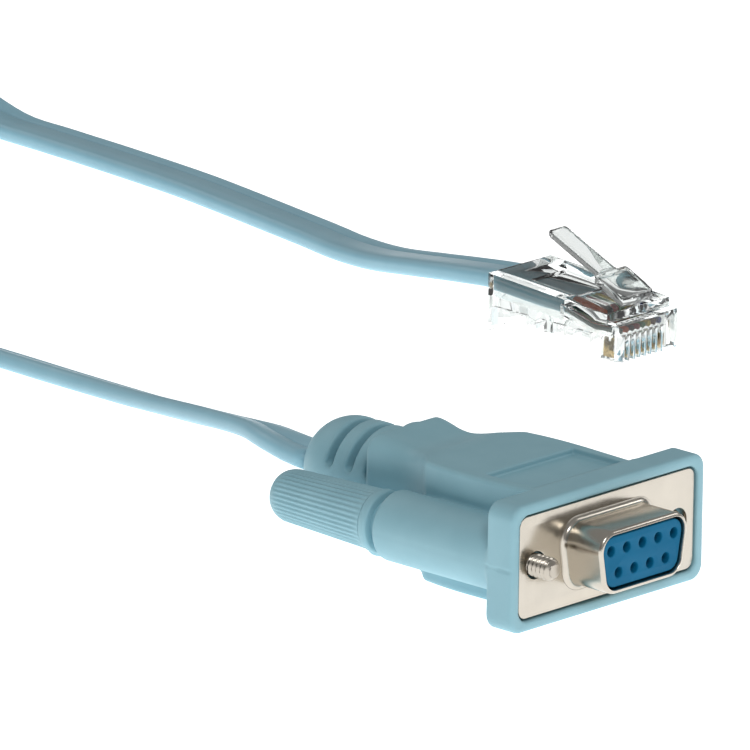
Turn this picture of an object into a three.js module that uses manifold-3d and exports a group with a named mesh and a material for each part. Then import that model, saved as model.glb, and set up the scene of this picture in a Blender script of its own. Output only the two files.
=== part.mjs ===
import * as THREE from 'three';
import { mergeVertices } from 'three/addons/utils/BufferGeometryUtils.js';
import Module from 'manifold-3d';

// A serial console lead: a moulded nine-way D connector with two thumbscrews at one end,
// a clear eight-way modular plug at the other, and a flat eight-wire cable between them.
// Millimetres. X runs across the connector, +Y from its mating face back along the cable, +Z up.

// Clearance kept between pieces that touch
const gap = 0.3;

// Stamped metal front of the connector
const screwSpacing = 25.0;
const flangeEnd = 2.905;
const flangeWidth = screwSpacing + 2 * flangeEnd;
const flangeHeight = 12.55;
const flangeThick = 0.8;
const flangeCorner = 1.2;
const shellWidth = 16.33;
const shellHeight = 7.9;
const shellSlant = 10;
const shellDepth = 6.0;
const shellWall = 0.5;
const shellCorner = 2.4;
const screwHole = 3.4;

// Blue insulator with nine sockets in two rows
const insulatorRecess = 0.3;
const insulatorRear = 3.6;
const upperSockets = 5;
const lowerSockets = 4;
const socketPitch = 2.77;
const socketRowPitch = 2.84;
const socketMouth = 1.3;
const socketLead = 0.9;
const contactOutside = 1.5;
const contactBore = 1.05;
const contactLength = 7.2;
const contactBoreDepth = 5.5;

// Moulded hood: front bezel, block, flared neck and ribbed strain relief
const bezelSide = 1.595;
const bezelTop = 1.625;
const bezelWidth = flangeWidth + 2 * bezelSide;
const bezelHeight = flangeHeight + 2 * bezelTop;
const bezelLip = 0.3;
const bezelRear = 4.0;
const bezelCorner = 1.9;
const bezelRound = 0.5;
const blockWidth = 18.4;
const blockHeight = 15.0;
const blockRear = 21.0;
const blockCorner = 1.0;
const blockShoulder = 1.2;
const waistWidth = 12.9;
const waistHeight = 14.0;
const waistPlace = 26.8;
const neckWidth = 13.9;
const neckHeight = 15.3;
const neckRear = 32.9;
const panelWidth = 15.4;
const panelFront = 4.9;
const panelLength = 7.7;
const panelDepth = 0.75;

const reliefRear = 45.8;
const reliefRadius = 6.25;
const reliefDomeFront = 41.0;
const reliefDomeReach = 6.0;
const reliefLift = 0.6;
const reliefSlots = 3;
const reliefSlotPitch = 3.2;
const reliefSlotFirst = 33.4;
const reliefSlotWidth = 1.2;
const reliefCore = 3.9;
const reliefWeb = 3.0;

// Thumbscrews in the two side barrels
const screwThread = 2.84;
const screwReach = 3.0;
const barrelOutside = 8.7;
const barrelRear = 22.6;
const barrelWall = 4.4;
const knobClear = 1.5;
const knobFront = barrelRear + knobClear;
const knobRear = 41.4;
const knobFrontRadius = 3.75;
const knobRearRadius = 3.2;
const knobCollarRadius = 3.9;
const knobCollarLength = 1.3;
const knobSpigotRadius = 2.8;
const knobSpigotLength = 6.5;
const knobRound = 2.2;
const knobFlutes = 36;
const knobFluteDepth = 0.14;
const screwInKnob = 11.0;
// How far back each captive thumbscrew has been pulled
const leftPulled = 0;
const rightPulled = 3.2;

// Clear modular plug, lying on the floor with its latch up
const plugX = 81.5;
const plugFront = 47.2;
const plugWidth = 11.68;
const plugLength = 21.46;
const noseHeight = 5.1;
const noseLength = 1.34;
const plugFrontHeight = 6.3;
const plugRearHeight = 7.55;
const plugRecessWidth = 6.6;
const plugRecessDepth = 0.45;
const plugRecessRear = 16.5;
const cavityDepth = 1.3;
const cavityBottom = 0.7;
const cavityTop = 3.3;
const cavities = [[15.0, 20.8], [8.6, 13.6], [4.2, 6.8]];
const latchHeadWidth = 6.0;
const latchLeverWidth = 3.25;
const latchHeadRear = 6.4;
const latchTip = 15.5;
const latchAngle = 24;
const latchThick = 1.0;
const latchHeadThick = 1.35;
const latchFront = 1.7;
const bladeCount = 8;
const bladePitch = 1.016;
const bladeThick = 0.35;
const bladeClearance = 0.15;
const bladeFront = 0.35;
const bladeBottom = 0.4;
const bladeLength = 2.7;
const bladeHeight = 2.3;
const wireDiameter = 0.68;
const wireFront = 1.7;
const wireLevel = 3.75;
const wireBend = 5.2;

// Flat cable, its coil and the two ties round the coil
const cableWidth = 6.8;
const cableThick = 2.2;
const cableInPlug = 11.5;
const cablePlugHeight = 5.6;
const coilX = 59.0;
const coilY = 230.0;
const coilRadius = 40.5;
const coilPitch = 2.6;
const coilTurns = 6.5;
const coilLayers = 2;
const layerGap = 0.4;
const tieWidth = 9.0;
const tieThick = 0.6;

const { lerp, degToRad, mapLinear, smoothstep } = THREE.MathUtils;

const wasm = await Module();
wasm.setup();

// Places that several pieces share
const screwX = screwSpacing / 2;
const pocketFloor = flangeThick + gap;
const insulatorFront = insulatorRecess - shellDepth;
const midY = (reliefRear - shellDepth) / 2;
const axisHeight = bezelHeight / 2;
const spigotFront = knobFront - knobSpigotLength;
const barrelBore = knobSpigotRadius + gap;
const screwEnd = knobFront + screwInKnob;
const layerStep = cableWidth + layerGap;
const coilBase = tieThick + gap;
const coilInner = coilRadius - coilPitch * coilTurns / coilLayers;
const ringOuter = coilRadius + cableThick / 2;
const ringInner = coilInner - cableThick / 2;
const ringHeight = cableWidth + (coilLayers - 1) * layerStep;
const tubeEnd = Math.sqrt((ringOuter + gap) ** 2 - (coilRadius - cableThick / 2) ** 2);

// Materials, with the colours of the real piece
const paint = (color, roughness, metalness) => new THREE.MeshStandardMaterial({ color, roughness, metalness });
const hoodBlue = paint(0x8fbccb, 0.5, 0);
const cableBlue = paint(0x86bcd0, 0.45, 0);
const nickel = paint(0xc9c2b4, 0.3, 1);
const steel = paint(0xb9b6b0, 0.35, 1);
const socketBlue = paint(0x0b74c4, 0.5, 0);
const gold = paint(0xd9ab4a, 0.3, 1);
const tieBlack = paint(0x24262a, 0.8, 0);
const clear = new THREE.MeshStandardMaterial({
  color: 0xdfe6e8, roughness: 0.15, transparent: true, opacity: 0.35,
});
const wirePaints = [0x8d9093, 0xd0602a, 0x23262a, 0x9c2f2c, 0x3f8a4a, 0xe0c33c, 0x6b4a34, 0x2c4f9a];

// A closed geometry becomes a solid that can be cut and joined
function solid(geometry) {
  const bare = geometry.clone();
  bare.deleteAttribute('normal');
  bare.deleteAttribute('uv');
  const merged = mergeVertices(bare, 1e-4);
  return new wasm.Manifold(new wasm.Mesh({
    numProp: 3,
    vertProperties: new Float32Array(merged.attributes.position.array),
    triVerts: new Uint32Array(merged.index.array),
  }));
}

function geometryOf(body) {
  const { vertProperties, triVerts } = body.getMesh();
  const geometry = new THREE.BufferGeometry();
  geometry.setAttribute('position', new THREE.BufferAttribute(new Float32Array(vertProperties), 3));
  geometry.setIndex(new THREE.BufferAttribute(new Uint32Array(triVerts), 1));
  geometry.computeVertexNormals();
  return geometry;
}

const join = (first, ...rest) => rest.reduce((sum, body) => sum.add(body), first);
const cut = (first, ...rest) => rest.reduce((sum, body) => sum.subtract(body), first);

function piece(name, shape, material) {
  const geometry = shape.isBufferGeometry ? shape : geometryOf(shape);
  const mesh = new THREE.Mesh(geometry, material);
  mesh.name = name;
  return mesh;
}

// Outline of a polygon, listed anticlockwise, with every corner rounded by an arc
function roundedOutline(corners, radius) {
  const outline = new THREE.Shape();
  corners.forEach((corner, i) => {
    const before = corners[(i + corners.length - 1) % corners.length];
    const after = corners[(i + 1) % corners.length];
    const inward = corner.clone().sub(before).normalize();
    const outward = after.clone().sub(corner).normalize();
    const turn = Math.acos(inward.dot(outward));
    const start = corner.clone().addScaledVector(inward, -radius * Math.tan(turn / 2));
    const centre = start.clone().add(new THREE.Vector2(-inward.y, inward.x).multiplyScalar(radius));
    const angle = Math.atan2(start.y - centre.y, start.x - centre.x);
    outline.absarc(centre.x, centre.y, radius, angle, angle + turn, false);
  });
  outline.closePath();
  return outline;
}

function roundedRectangle(width, height, radius) {
  const x = width / 2;
  const z = height / 2;
  return roundedOutline([[-x, -z], [x, -z], [x, z], [-x, z]].map(([a, b]) => new THREE.Vector2(a, b)), radius);
}

// The D of the connector: wide edge up, sides slanting in towards the lower edge.
// Inset moves every side in by the same distance.
function dOutline(inset) {
  const slant = degToRad(shellSlant);
  const z = shellHeight / 2 - inset;
  const middle = shellWidth / 2 - shellHeight / 2 * Math.tan(slant) - inset / Math.cos(slant);
  const top = middle + z * Math.tan(slant);
  const bottom = middle - z * Math.tan(slant);
  const corners = [[-bottom, -z], [bottom, -z], [top, z], [-top, z]];
  return roundedOutline(corners.map(([a, b]) => new THREE.Vector2(a, b)), shellCorner - inset);
}

// An outline in X and Z, pulled along Y from one plane to another, with rounded end edges if asked
function alongY(outline, from, to, round = 0, curveSegments = 6) {
  const geometry = new THREE.ExtrudeGeometry(outline, {
    depth: to - from - 2 * round,
    bevelEnabled: round > 0,
    bevelThickness: round,
    bevelSize: round,
    bevelOffset: -round,
    bevelSegments: 2,
    curveSegments,
  });
  return geometry.rotateX(Math.PI / 2).translate(0, to - round, 0);
}

// An outline in Y and Z, pulled along X and centred on X = 0
function alongX(points, width) {
  const outline = new THREE.Shape(points.map(([y, z]) => new THREE.Vector2(y, z)));
  const geometry = new THREE.ExtrudeGeometry(outline, { depth: width, bevelEnabled: false });
  return geometry.translate(0, 0, -width / 2).rotateY(Math.PI / 2).rotateX(Math.PI / 2);
}

const rod = (radius, from, to, segments = 32) =>
  new THREE.CylinderGeometry(radius, radius, to - from, segments).translate(0, (from + to) / 2, 0);

const block = (width, depth, height, x, y, z) =>
  new THREE.BoxGeometry(width, depth, height).translate(x, y, z);

// A closed skin over rings of points, front ring first, each ring anticlockwise seen from the front
function skin(rings) {
  const count = rings[0].length;
  const middle = (ring) => ring.reduce((sum, p) => sum.add(p), new THREE.Vector3()).divideScalar(count);
  const points = [...rings.flat(), middle(rings[0]), middle(rings.at(-1))];
  const first = count * rings.length;
  const last = count * (rings.length - 1);
  const triangles = [];
  for (let i = 0; i < count; i += 1) {
    const next = (i + 1) % count;
    triangles.push(first, i, next, first + 1, last + next, last + i);
    for (let row = 0; row < last; row += count) {
      triangles.push(row + i, row + count + i, row + count + next);
      triangles.push(row + i, row + count + next, row + next);
    }
  }
  const geometry = new THREE.BufferGeometry();
  const flat = points.flatMap((p) => [p.x, p.y, p.z]);
  geometry.setAttribute('position', new THREE.Float32BufferAttribute(flat, 3));
  geometry.setIndex(triangles);
  geometry.computeVertexNormals();
  return geometry;
}

// A ring of a rounded rectangle at one place along Y
function section(y, width, height, radius, lift = 0) {
  const outline = roundedRectangle(width, height, radius).extractPoints(4).shape;
  return outline.map((p) => new THREE.Vector3(p.x, y, p.y + lift));
}

function roundSection(y, radius, lift, segments) {
  return Array.from({ length: segments }, (_, i) => {
    const angle = 2 * Math.PI * i / segments;
    return new THREE.Vector3(radius * Math.cos(angle), y, radius * Math.sin(angle) + lift);
  });
}

// Stamped front: flange with the hollow D standing out of it and two screw holes
function metalShell() {
  const plate = solid(alongY(roundedRectangle(flangeWidth, flangeHeight, flangeCorner), 0, flangeThick));
  const skirt = solid(alongY(dOutline(0), -shellDepth, flangeThick / 2, shellWall / 3));
  const hollow = solid(alongY(dOutline(shellWall), -shellDepth - 1, flangeThick + 1));
  const hole = solid(rod(screwHole / 2, -1, flangeThick + 1));
  const holes = [-screwX, screwX].map((x) => hole.translate(x, 0, 0));
  return cut(join(plate, skirt), hollow, ...holes);
}

// Places of the nine sockets, upper row first
function socketPlaces() {
  const row = (count, z) => Array.from({ length: count }, (_, i) => [(i - (count - 1) / 2) * socketPitch, z]);
  return [...row(upperSockets, socketRowPitch / 2), ...row(lowerSockets, -socketRowPitch / 2)];
}

function insulator() {
  const body = solid(alongY(dOutline(shellWall + gap), insulatorFront, insulatorRear));
  const mouth = solid(rod(socketMouth / 2, insulatorFront - 1, insulatorFront + socketLead + 0.1, 16));
  const bore = solid(rod(contactOutside / 2 + gap, insulatorFront + socketLead, insulatorRear + 1, 16));
  const socket = join(mouth, bore);
  return cut(body, ...socketPlaces().map(([x, z]) => socket.translate(x, 0, z)));
}

function contact() {
  const front = insulatorFront + socketLead + gap;
  const profile = [
    [0, front + contactBoreDepth], [contactBore / 2, front + contactBoreDepth], [contactBore / 2, front],
    [contactOutside / 2, front], [contactOutside / 2, front + contactLength], [0, front + contactLength],
  ];
  return new THREE.LatheGeometry(profile.map(([r, y]) => new THREE.Vector2(r, y)), 12);
}

// Ribbed strain relief: a round end with a domed rear, with slots over and under it and a solid web
// at each side
function strainRelief() {
  const ring = (y) => {
    const past = Math.max(y - reliefDomeFront, 0) / reliefDomeReach;
    return roundSection(y, reliefRadius * Math.sqrt(1 - past * past), reliefLift, 32);
  };
  const dome = Array.from({ length: 6 }, (_, i) => lerp(reliefDomeFront, reliefRear, i / 5));
  const body = solid(skin([neckRear - 2, ...dome].map(ring)));
  const slots = Array.from({ length: reliefSlots }, (_, i) => {
    const y = reliefSlotFirst + i * reliefSlotPitch;
    const disc = solid(rod(reliefRadius + 1, y - reliefSlotWidth / 2, y + reliefSlotWidth / 2));
    const core = solid(rod(reliefCore, y - reliefSlotWidth, y + reliefSlotWidth));
    const web = solid(block(2 * bezelWidth, 2 * reliefSlotWidth, reliefWeb, 0, y, 0));
    return cut(disc, core, web).translate(0, 0, reliefLift);
  });
  return cut(body, ...slots);
}

function hood() {
  const bezelOutline = roundedRectangle(bezelWidth, bezelHeight, bezelCorner);
  const bezel = solid(alongY(bezelOutline, -bezelLip, bezelRear, bezelRound));
  const taperPlace = (blockRear + waistPlace) / 2;
  const taperWidth = lerp(blockWidth, waistWidth, 0.7);
  const taperHeight = lerp(blockHeight, waistHeight, 0.4);
  const body = solid(skin([
    section(bezelRear - 1, blockWidth, blockHeight, blockCorner),
    section(blockRear, blockWidth, blockHeight, blockCorner),
    section(blockRear + blockShoulder, blockWidth - 1.5 * blockShoulder, blockHeight, blockCorner),
    section(taperPlace, taperWidth, taperHeight, blockCorner),
    section(waistPlace, waistWidth, waistHeight, blockCorner),
    section(neckRear - 1.2, neckWidth, neckHeight, blockCorner),
    section(neckRear, neckWidth - 1, neckHeight - 1, blockCorner),
  ]));
  const barrel = solid(rod(barrelOutside / 2, bezelRear - 1, barrelRear));
  const shaftHole = solid(rod(screwThread / 2 + gap, -1, barrelRear));
  const bore = solid(rod(barrelBore, barrelWall + pocketFloor, barrelRear + 1));
  const sides = [-screwX, screwX];
  const flangeOutline = roundedRectangle(flangeWidth + 2 * gap, flangeHeight + 2 * gap, flangeCorner + gap);
  const flangePocket = solid(alongY(flangeOutline, -bezelLip - 1, pocketFloor));
  const insulatorPocket = solid(alongY(dOutline(shellWall - gap / 2), 0, insulatorRear + gap));
  const panelMiddle = panelFront + panelLength / 2;
  const panel = solid(block(panelWidth, panelLength, 2 * panelDepth, 0, panelMiddle, blockHeight / 2));
  const whole = join(bezel, body, strainRelief(), ...sides.map((x) => barrel.translate(x, 0, 0)));
  const holes = sides.flatMap((x) => [shaftHole.translate(x, 0, 0), bore.translate(x, 0, 0)]);
  return cut(whole, flangePocket, insulatorPocket, panel, panel.translate(0, 0, -blockHeight), ...holes);
}

// Screw of one thumbscrew, with a short chamfer at its tip
function screw() {
  const radius = screwThread / 2;
  const profile = [
    [0, -screwReach], [radius - 0.4, -screwReach], [radius, 0.4 - screwReach],
    [radius, screwEnd], [0, screwEnd],
  ];
  return new THREE.LatheGeometry(profile.map(([r, y]) => new THREE.Vector2(r, y)), 24);
}

// Fluted knob, with a spigot that turns in the barrel and a blind hole moulded round the screw
function knob() {
  const fluteFront = knobFront + knobCollarLength;
  const taper = (y) => lerp(knobFrontRadius, knobRearRadius, (y - fluteFront) / (knobRear - fluteFront));
  const ring = (y, radius, fluted) => Array.from({ length: 2 * knobFlutes }, (_, i) => {
    const angle = Math.PI * i / knobFlutes;
    const r = fluted && i % 2 ? radius - knobFluteDepth : radius;
    return new THREE.Vector3(r * Math.cos(angle), y, r * Math.sin(angle));
  });
  const body = solid(skin([
    ring(spigotFront, knobSpigotRadius, false),
    ring(knobFront - 0.01, knobSpigotRadius, false),
    ring(knobFront, knobCollarRadius, false),
    ring(fluteFront, knobCollarRadius, false),
    ring(fluteFront + 0.01, taper(fluteFront), true),
    ring(knobRear - knobRound, taper(knobRear - knobRound), true),
    ring(knobRear - knobRound / 2, knobRearRadius - 0.1 * knobRound, false),
    ring(knobRear - knobRound / 8, knobRearRadius - 0.4 * knobRound, false),
    ring(knobRear, knobRearRadius - 0.75 * knobRound, false),
  ]));
  return cut(body, solid(rod(screwThread / 2 + gap, spigotFront - 1, screwEnd + gap)));
}

// Height of the plug's top face at a distance behind its front
const plugTop = (y) => mapLinear(y, noseLength, plugLength, plugFrontHeight, plugRearHeight);
const plugSlope = (plugRearHeight - plugFrontHeight) / (plugLength - noseLength);
const cableEndInPlug = plugLength - cableInPlug;
const cableLevel = (y) => cablePlugHeight + (y - plugLength) * plugSlope;
const wirePlaces = Array.from({ length: bladeCount }, (_, i) => (i - (bladeCount - 1) / 2) * bladePitch);
const wireFloor = wireLevel - wireDiameter / 2 - gap;

function plugHousing() {
  const body = solid(alongX([
    [0, 0], [plugLength, 0], [plugLength, plugRearHeight], [noseLength, plugFrontHeight],
    [noseLength, noseHeight], [0, noseHeight],
  ], plugWidth));
  const recessFront = latchFront + 2.2;
  const recess = solid(alongX([
    [recessFront, plugTop(recessFront) - plugRecessDepth],
    [plugRecessRear, plugTop(plugRecessRear) - plugRecessDepth],
    [plugRecessRear, plugRearHeight + 1], [recessFront, plugRearHeight + 1],
  ], plugRecessWidth));
  const half = cableThick / 2 + gap;
  const entryFront = cableEndInPlug - gap;
  const entryRear = plugLength + 1;
  const entry = solid(alongX([
    [entryFront, cableLevel(entryFront) - half], [entryRear, cableLevel(entryRear) - half],
    [entryRear, cableLevel(entryRear) + half], [entryFront, cableLevel(entryFront) + half],
  ], cableWidth + 2 * gap));
  const reach = wireDiameter / 2 + gap;
  const chamber = solid(alongX([
    [wireFront - gap, wireFloor], [wireBend, wireFloor],
    [cableEndInPlug + 0.1, cableLevel(cableEndInPlug) - reach - 0.1],
    [cableEndInPlug + 0.1, cableLevel(cableEndInPlug) + reach + 0.1],
    [wireBend - 0.4, wireLevel + reach + 0.1], [wireFront - gap, wireLevel + reach],
  ], (bladeCount - 1) * bladePitch + wireDiameter + 2 * gap));
  const slotRear = bladeFront + bladeLength + gap;
  const slotWidth = bladeThick + 2 * bladeClearance;
  const slot = solid(block(slotWidth, slotRear + 1, wireFloor + 1.1, 0, (slotRear - 1) / 2, (wireFloor - 0.9) / 2));
  const height = cavityTop - cavityBottom;
  const hollows = cavities.flatMap(([front, rear]) => [-plugWidth / 2, plugWidth / 2].map((x) =>
    solid(block(2 * cavityDepth, rear - front, height, x, (front + rear) / 2, cavityBottom + height / 2))));
  return cut(body, recess, entry, chamber, ...hollows, ...wirePlaces.map((x) => slot.translate(x, 0, 0)));
}

// Latch lever, rising from the front of the plug towards its rear: a wide head, then a narrow lever
function latch() {
  const slope = Math.tan(degToRad(latchAngle));
  const base = plugTop(latchFront) + gap;
  const under = (y) => base + (y - latchFront) * slope;
  const head = solid(alongX([
    [latchFront, base], [latchHeadRear, under(latchHeadRear)],
    [latchHeadRear - 0.5, under(latchHeadRear) + latchHeadThick], [latchFront - 0.3, base + latchHeadThick],
  ], latchHeadWidth));
  const lever = solid(alongX([
    [latchHeadRear - 1, under(latchHeadRear - 1)], [latchTip, under(latchTip)],
    [latchTip - 0.3, under(latchTip) + latchThick],
    [latchHeadRear - 1.3, under(latchHeadRear - 1) + latchThick],
  ], latchLeverWidth));
  return join(head, lever);
}

const bladeMiddle = bladeFront + bladeLength / 2;
const blade = () => block(bladeThick, bladeLength, bladeHeight, 0, bladeMiddle, bladeBottom + bladeHeight / 2);

// One wire of the cable, from the end of the jacket down to its blade
function wire() {
  const end = cableEndInPlug - gap;
  const path = new THREE.CurvePath();
  const corners = [[wireFront, wireLevel], [wireBend, wireLevel], [end, cableLevel(end)]];
  const [front, bend, back] = corners.map(([y, z]) => new THREE.Vector3(0, y, z));
  path.add(new THREE.LineCurve3(front, bend));
  path.add(new THREE.LineCurve3(bend, back));
  const round = new THREE.Shape().absarc(0, 0, wireDiameter / 2, 0, 2 * Math.PI, false);
  return new THREE.ExtrudeGeometry(round, { steps: 6, curveSegments: 8, extrudePath: path });
}

// A route for a flat cable: each point is x, y, z and the roll of the cable in degrees,
// 0 with its wide face down and 90 standing on its edge
class FlatRoute extends THREE.CatmullRomCurve3 {
  constructor(points) {
    super(points.map(([x, y, z]) => new THREE.Vector3(x, y, z)));
    this.rolls = points.map((point) => degToRad(point[3]));
  }

  rollAt(u) {
    const place = this.getUtoTmapping(u) * (this.rolls.length - 1);
    const i = Math.min(Math.floor(place), this.rolls.length - 2);
    return lerp(this.rolls[i], this.rolls[i + 1], smoothstep(place - i, 0, 1));
  }

  computeFrenetFrames(segments) {
    const frames = { tangents: [], normals: [], binormals: [] };
    for (let i = 0; i <= segments; i += 1) {
      const tangent = this.getTangentAt(i / segments);
      const across = new THREE.Vector3().crossVectors(tangent, new THREE.Vector3(0, 0, 1)).normalize();
      const normal = across.applyAxisAngle(tangent, this.rollAt(i / segments));
      frames.tangents.push(tangent);
      frames.normals.push(normal);
      frames.binormals.push(new THREE.Vector3().crossVectors(tangent, normal));
    }
    return frames;
  }
}

// Routes on the floor. The first point of each is at its connector, the last beside the coil.
const flat = cableThick / 2 + 0.08;
const firstLayer = coilBase + cableWidth / 2;
const connectorRoute = [
  [0, reliefRear - midY + gap, axisHeight + reliefLift, 0],
  [0.1, 29, axisHeight + reliefLift, -3],
  [1.1, 34.3, 8.7, -10],
  [3.0, 38.8, 8.4, -15],
  [6.3, 48, 7.0, -19],
  [9.9, 57.9, 5.3, -20],
  [13.4, 68, 3.7, -20],
  [15.9, 77.3, 2.7, -20],
  [17.3, 86, 2.2, -20],
  [18.0, 97, 2.1, -20],
  [18.3, 112, 2.1, -20],
  [18.6, 132, 2.1, -20],
  [18.8, 150, 2.1, -20],
  [18.8, 165, 2.6, -30],
  [18.7, 180, 3.3, -52],
  [18.6, 195, 3.9, -78],
  [18.5, 206, firstLayer, -90],
  [coilX - coilRadius, coilY - tubeEnd, firstLayer, -90],
];
const plugRear = plugFront + plugLength;
const plugRoute = [
  [plugX, plugFront + cableEndInPlug, cableLevel(cableEndInPlug), 0],
  [plugX, plugRear - 5, cableLevel(plugLength - 5), 0],
  [plugX, plugRear + 1, cablePlugHeight, 0],
  [81.8, 77, 4.9, 0],
  [83.2, 86, 3.5, 0],
  [85.2, 95, 2.0, 0],
  [87.2, 103, 1.3, 0],
  [89.0, 110, flat, 0],
  [90.6, 118, flat, 0],
  [92.4, 127, flat, 0],
  [94.2, 137, flat, 0],
  [95.8, 151, flat, 0],
  [96.9, 164, flat, 0],
  [97.4, 173, 1.3, 2],
  [98.0, 181, 2.4, 22],
  [98.7, 190, 4.5, 52],
  [99.2, 199, 7.3, 78],
  [99.4, 208, 10.2, 90],
  [coilX + coilRadius, coilY - tubeEnd, firstLayer + layerStep, 90],
];

function cableTube(route, steps) {
  const outline = roundedRectangle(cableWidth, cableThick, 0.45 * cableThick);
  return new THREE.ExtrudeGeometry(outline, { steps, curveSegments: 2, extrudePath: new FlatRoute(route) });
}

// The coil's outer shape, and a strap round it
function coil() {
  const top = coilBase + ringHeight;
  const profile = [
    [ringInner, coilBase], [ringOuter, coilBase], [ringOuter, top], [ringInner, top], [ringInner, coilBase],
  ];
  const ring = new THREE.LatheGeometry(profile.map(([r, z]) => new THREE.Vector2(r, z)), 60);
  return ring.rotateX(Math.PI / 2).translate(coilX, coilY, 0);
}

function coilTie(side) {
  const nearest = Math.sqrt(ringInner ** 2 - (tieWidth / 2) ** 2) - gap;
  const farthest = ringOuter + gap;
  const top = coilBase + ringHeight + gap;
  const middle = side * (nearest + farthest) / 2;
  const outside = block(tieWidth, farthest - nearest + 2 * tieThick, top + tieThick, 0, middle, (top + tieThick) / 2);
  const inside = block(tieWidth + 2, farthest - nearest, top - tieThick, 0, middle, (top + tieThick) / 2);
  return cut(solid(outside), solid(inside)).translate(coilX, coilY, 0);
}

// The connector is built about its own axis, then stood on its bezel's lower edge
const connector = new THREE.Group();
connector.position.set(0, -midY, axisHeight);
connector.add(piece('hood', hood(), hoodBlue));
connector.add(piece('metal_shell', metalShell(), nickel));
connector.add(piece('insulator', insulator(), socketBlue));
socketPlaces().forEach(([x, z], i) => {
  const mesh = piece(`socket_contact_${i + 1}`, contact(), gold);
  mesh.position.set(x, 0, z);
  connector.add(mesh);
});
[['left', -screwX, leftPulled], ['right', screwX, rightPulled]].forEach(([side, x, pulled]) => {
  const shaft = piece(`${side}_screw`, screw(), steel);
  const grip = piece(`${side}_knob`, knob(), hoodBlue);
  shaft.position.set(x, pulled, 0);
  grip.position.set(x, pulled, 0);
  connector.add(shaft, grip);
});

const plug = new THREE.Group();
plug.position.set(plugX, plugFront, 0);
plug.add(piece('plug_housing', plugHousing(), clear));
plug.add(piece('plug_latch', latch(), clear));
wirePlaces.forEach((x, i) => {
  const contactBlade = piece(`plug_blade_${i + 1}`, blade(), gold);
  const conductor = piece(`wire_${i + 1}`, wire(), paint(wirePaints[i], 0.5, 0));
  contactBlade.position.x = x;
  conductor.position.x = x;
  plug.add(contactBlade, conductor);
});

const lead = new THREE.Group();
lead.add(connector, plug);
lead.add(piece('cable_at_connector', cableTube(connectorRoute, 34), cableBlue));
lead.add(piece('cable_at_plug', cableTube(plugRoute, 30), cableBlue));
lead.add(piece('cable_coil', coil(), cableBlue));
lead.add(piece('coil_tie_front', coilTie(-1), tieBlack));
lead.add(piece('coil_tie_rear', coilTie(1), tieBlack));

export default lead;
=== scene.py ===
# %% [markdown]
# A serial console lead. A moulded connector with nine sockets and two thumbscrews is on one end of
# a flat light-blue cable, and a clear modular plug is on the other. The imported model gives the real
# sizes and places, and this file gives the pieces their finished shapes and surfaces.

# %% Frame and units
import math
from types import SimpleNamespace

import bmesh
import bpy
import numpy as np
from mathutils import Matrix, Vector


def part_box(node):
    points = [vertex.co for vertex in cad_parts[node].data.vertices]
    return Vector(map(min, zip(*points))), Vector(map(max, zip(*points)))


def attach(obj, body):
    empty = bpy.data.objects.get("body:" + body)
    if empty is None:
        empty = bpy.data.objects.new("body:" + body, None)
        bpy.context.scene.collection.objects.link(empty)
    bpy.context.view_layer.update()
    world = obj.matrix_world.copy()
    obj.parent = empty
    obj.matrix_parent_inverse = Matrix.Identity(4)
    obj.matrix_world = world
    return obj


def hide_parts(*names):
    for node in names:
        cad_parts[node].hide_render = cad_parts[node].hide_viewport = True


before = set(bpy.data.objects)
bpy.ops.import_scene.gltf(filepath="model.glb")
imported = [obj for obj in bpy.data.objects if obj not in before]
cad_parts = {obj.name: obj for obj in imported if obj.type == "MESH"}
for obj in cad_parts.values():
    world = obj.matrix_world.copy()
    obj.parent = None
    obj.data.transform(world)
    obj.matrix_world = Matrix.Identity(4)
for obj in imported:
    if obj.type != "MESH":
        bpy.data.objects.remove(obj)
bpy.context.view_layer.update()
MM = 0.001
IMAGE = 750
print("nodes in the frame:", len(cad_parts))

# %% [markdown]
# Every piece of the connector is described about the connector's own axis: X across, Y back from
# the metal flange, Z up. These few places link that frame to the floor it lies on.

# %% Places on the connector
hood_low, hood_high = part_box("hood")
shell_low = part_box("metal_shell")[0]
SHELL_DEPTH = 6.0
GAP = 0.3
AXIS_Z = (hood_low.z + hood_high.z) / 2 / MM
FLANGE_Y = shell_low.y / MM + SHELL_DEPTH
SCREW_X = 12.5
RELIEF_LIFT = 0.6
RELIEF_REAR = hood_high.y / MM - FLANGE_Y
print("flange plane", round(FLANGE_Y, 3), "axis height", round(AXIS_Z, 3))

# %% [markdown]
# The photograph was taken with a long lens, so parallel edges stay almost parallel. The camera was
# fitted to known points of the connector: the corners of the flange, the screws and the sockets.
# It stands 2 m away, turned to the connector's left, and looks down a little.

# %% Camera
CAMERA_DISTANCE = 2000.0
CAMERA_TURN = math.radians(-47.344)
CAMERA_RISE = math.radians(16.544)
CAMERA_ROLL = math.radians(0.922)
FLANGE_PIXEL = (606.927, 543.413)
PIXELS_PER_MM = 8.424
SENSOR = 36.0


def add_object(name, data):
    obj = bpy.data.objects.new(name, data)
    bpy.context.scene.collection.objects.link(obj)
    return obj


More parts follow.
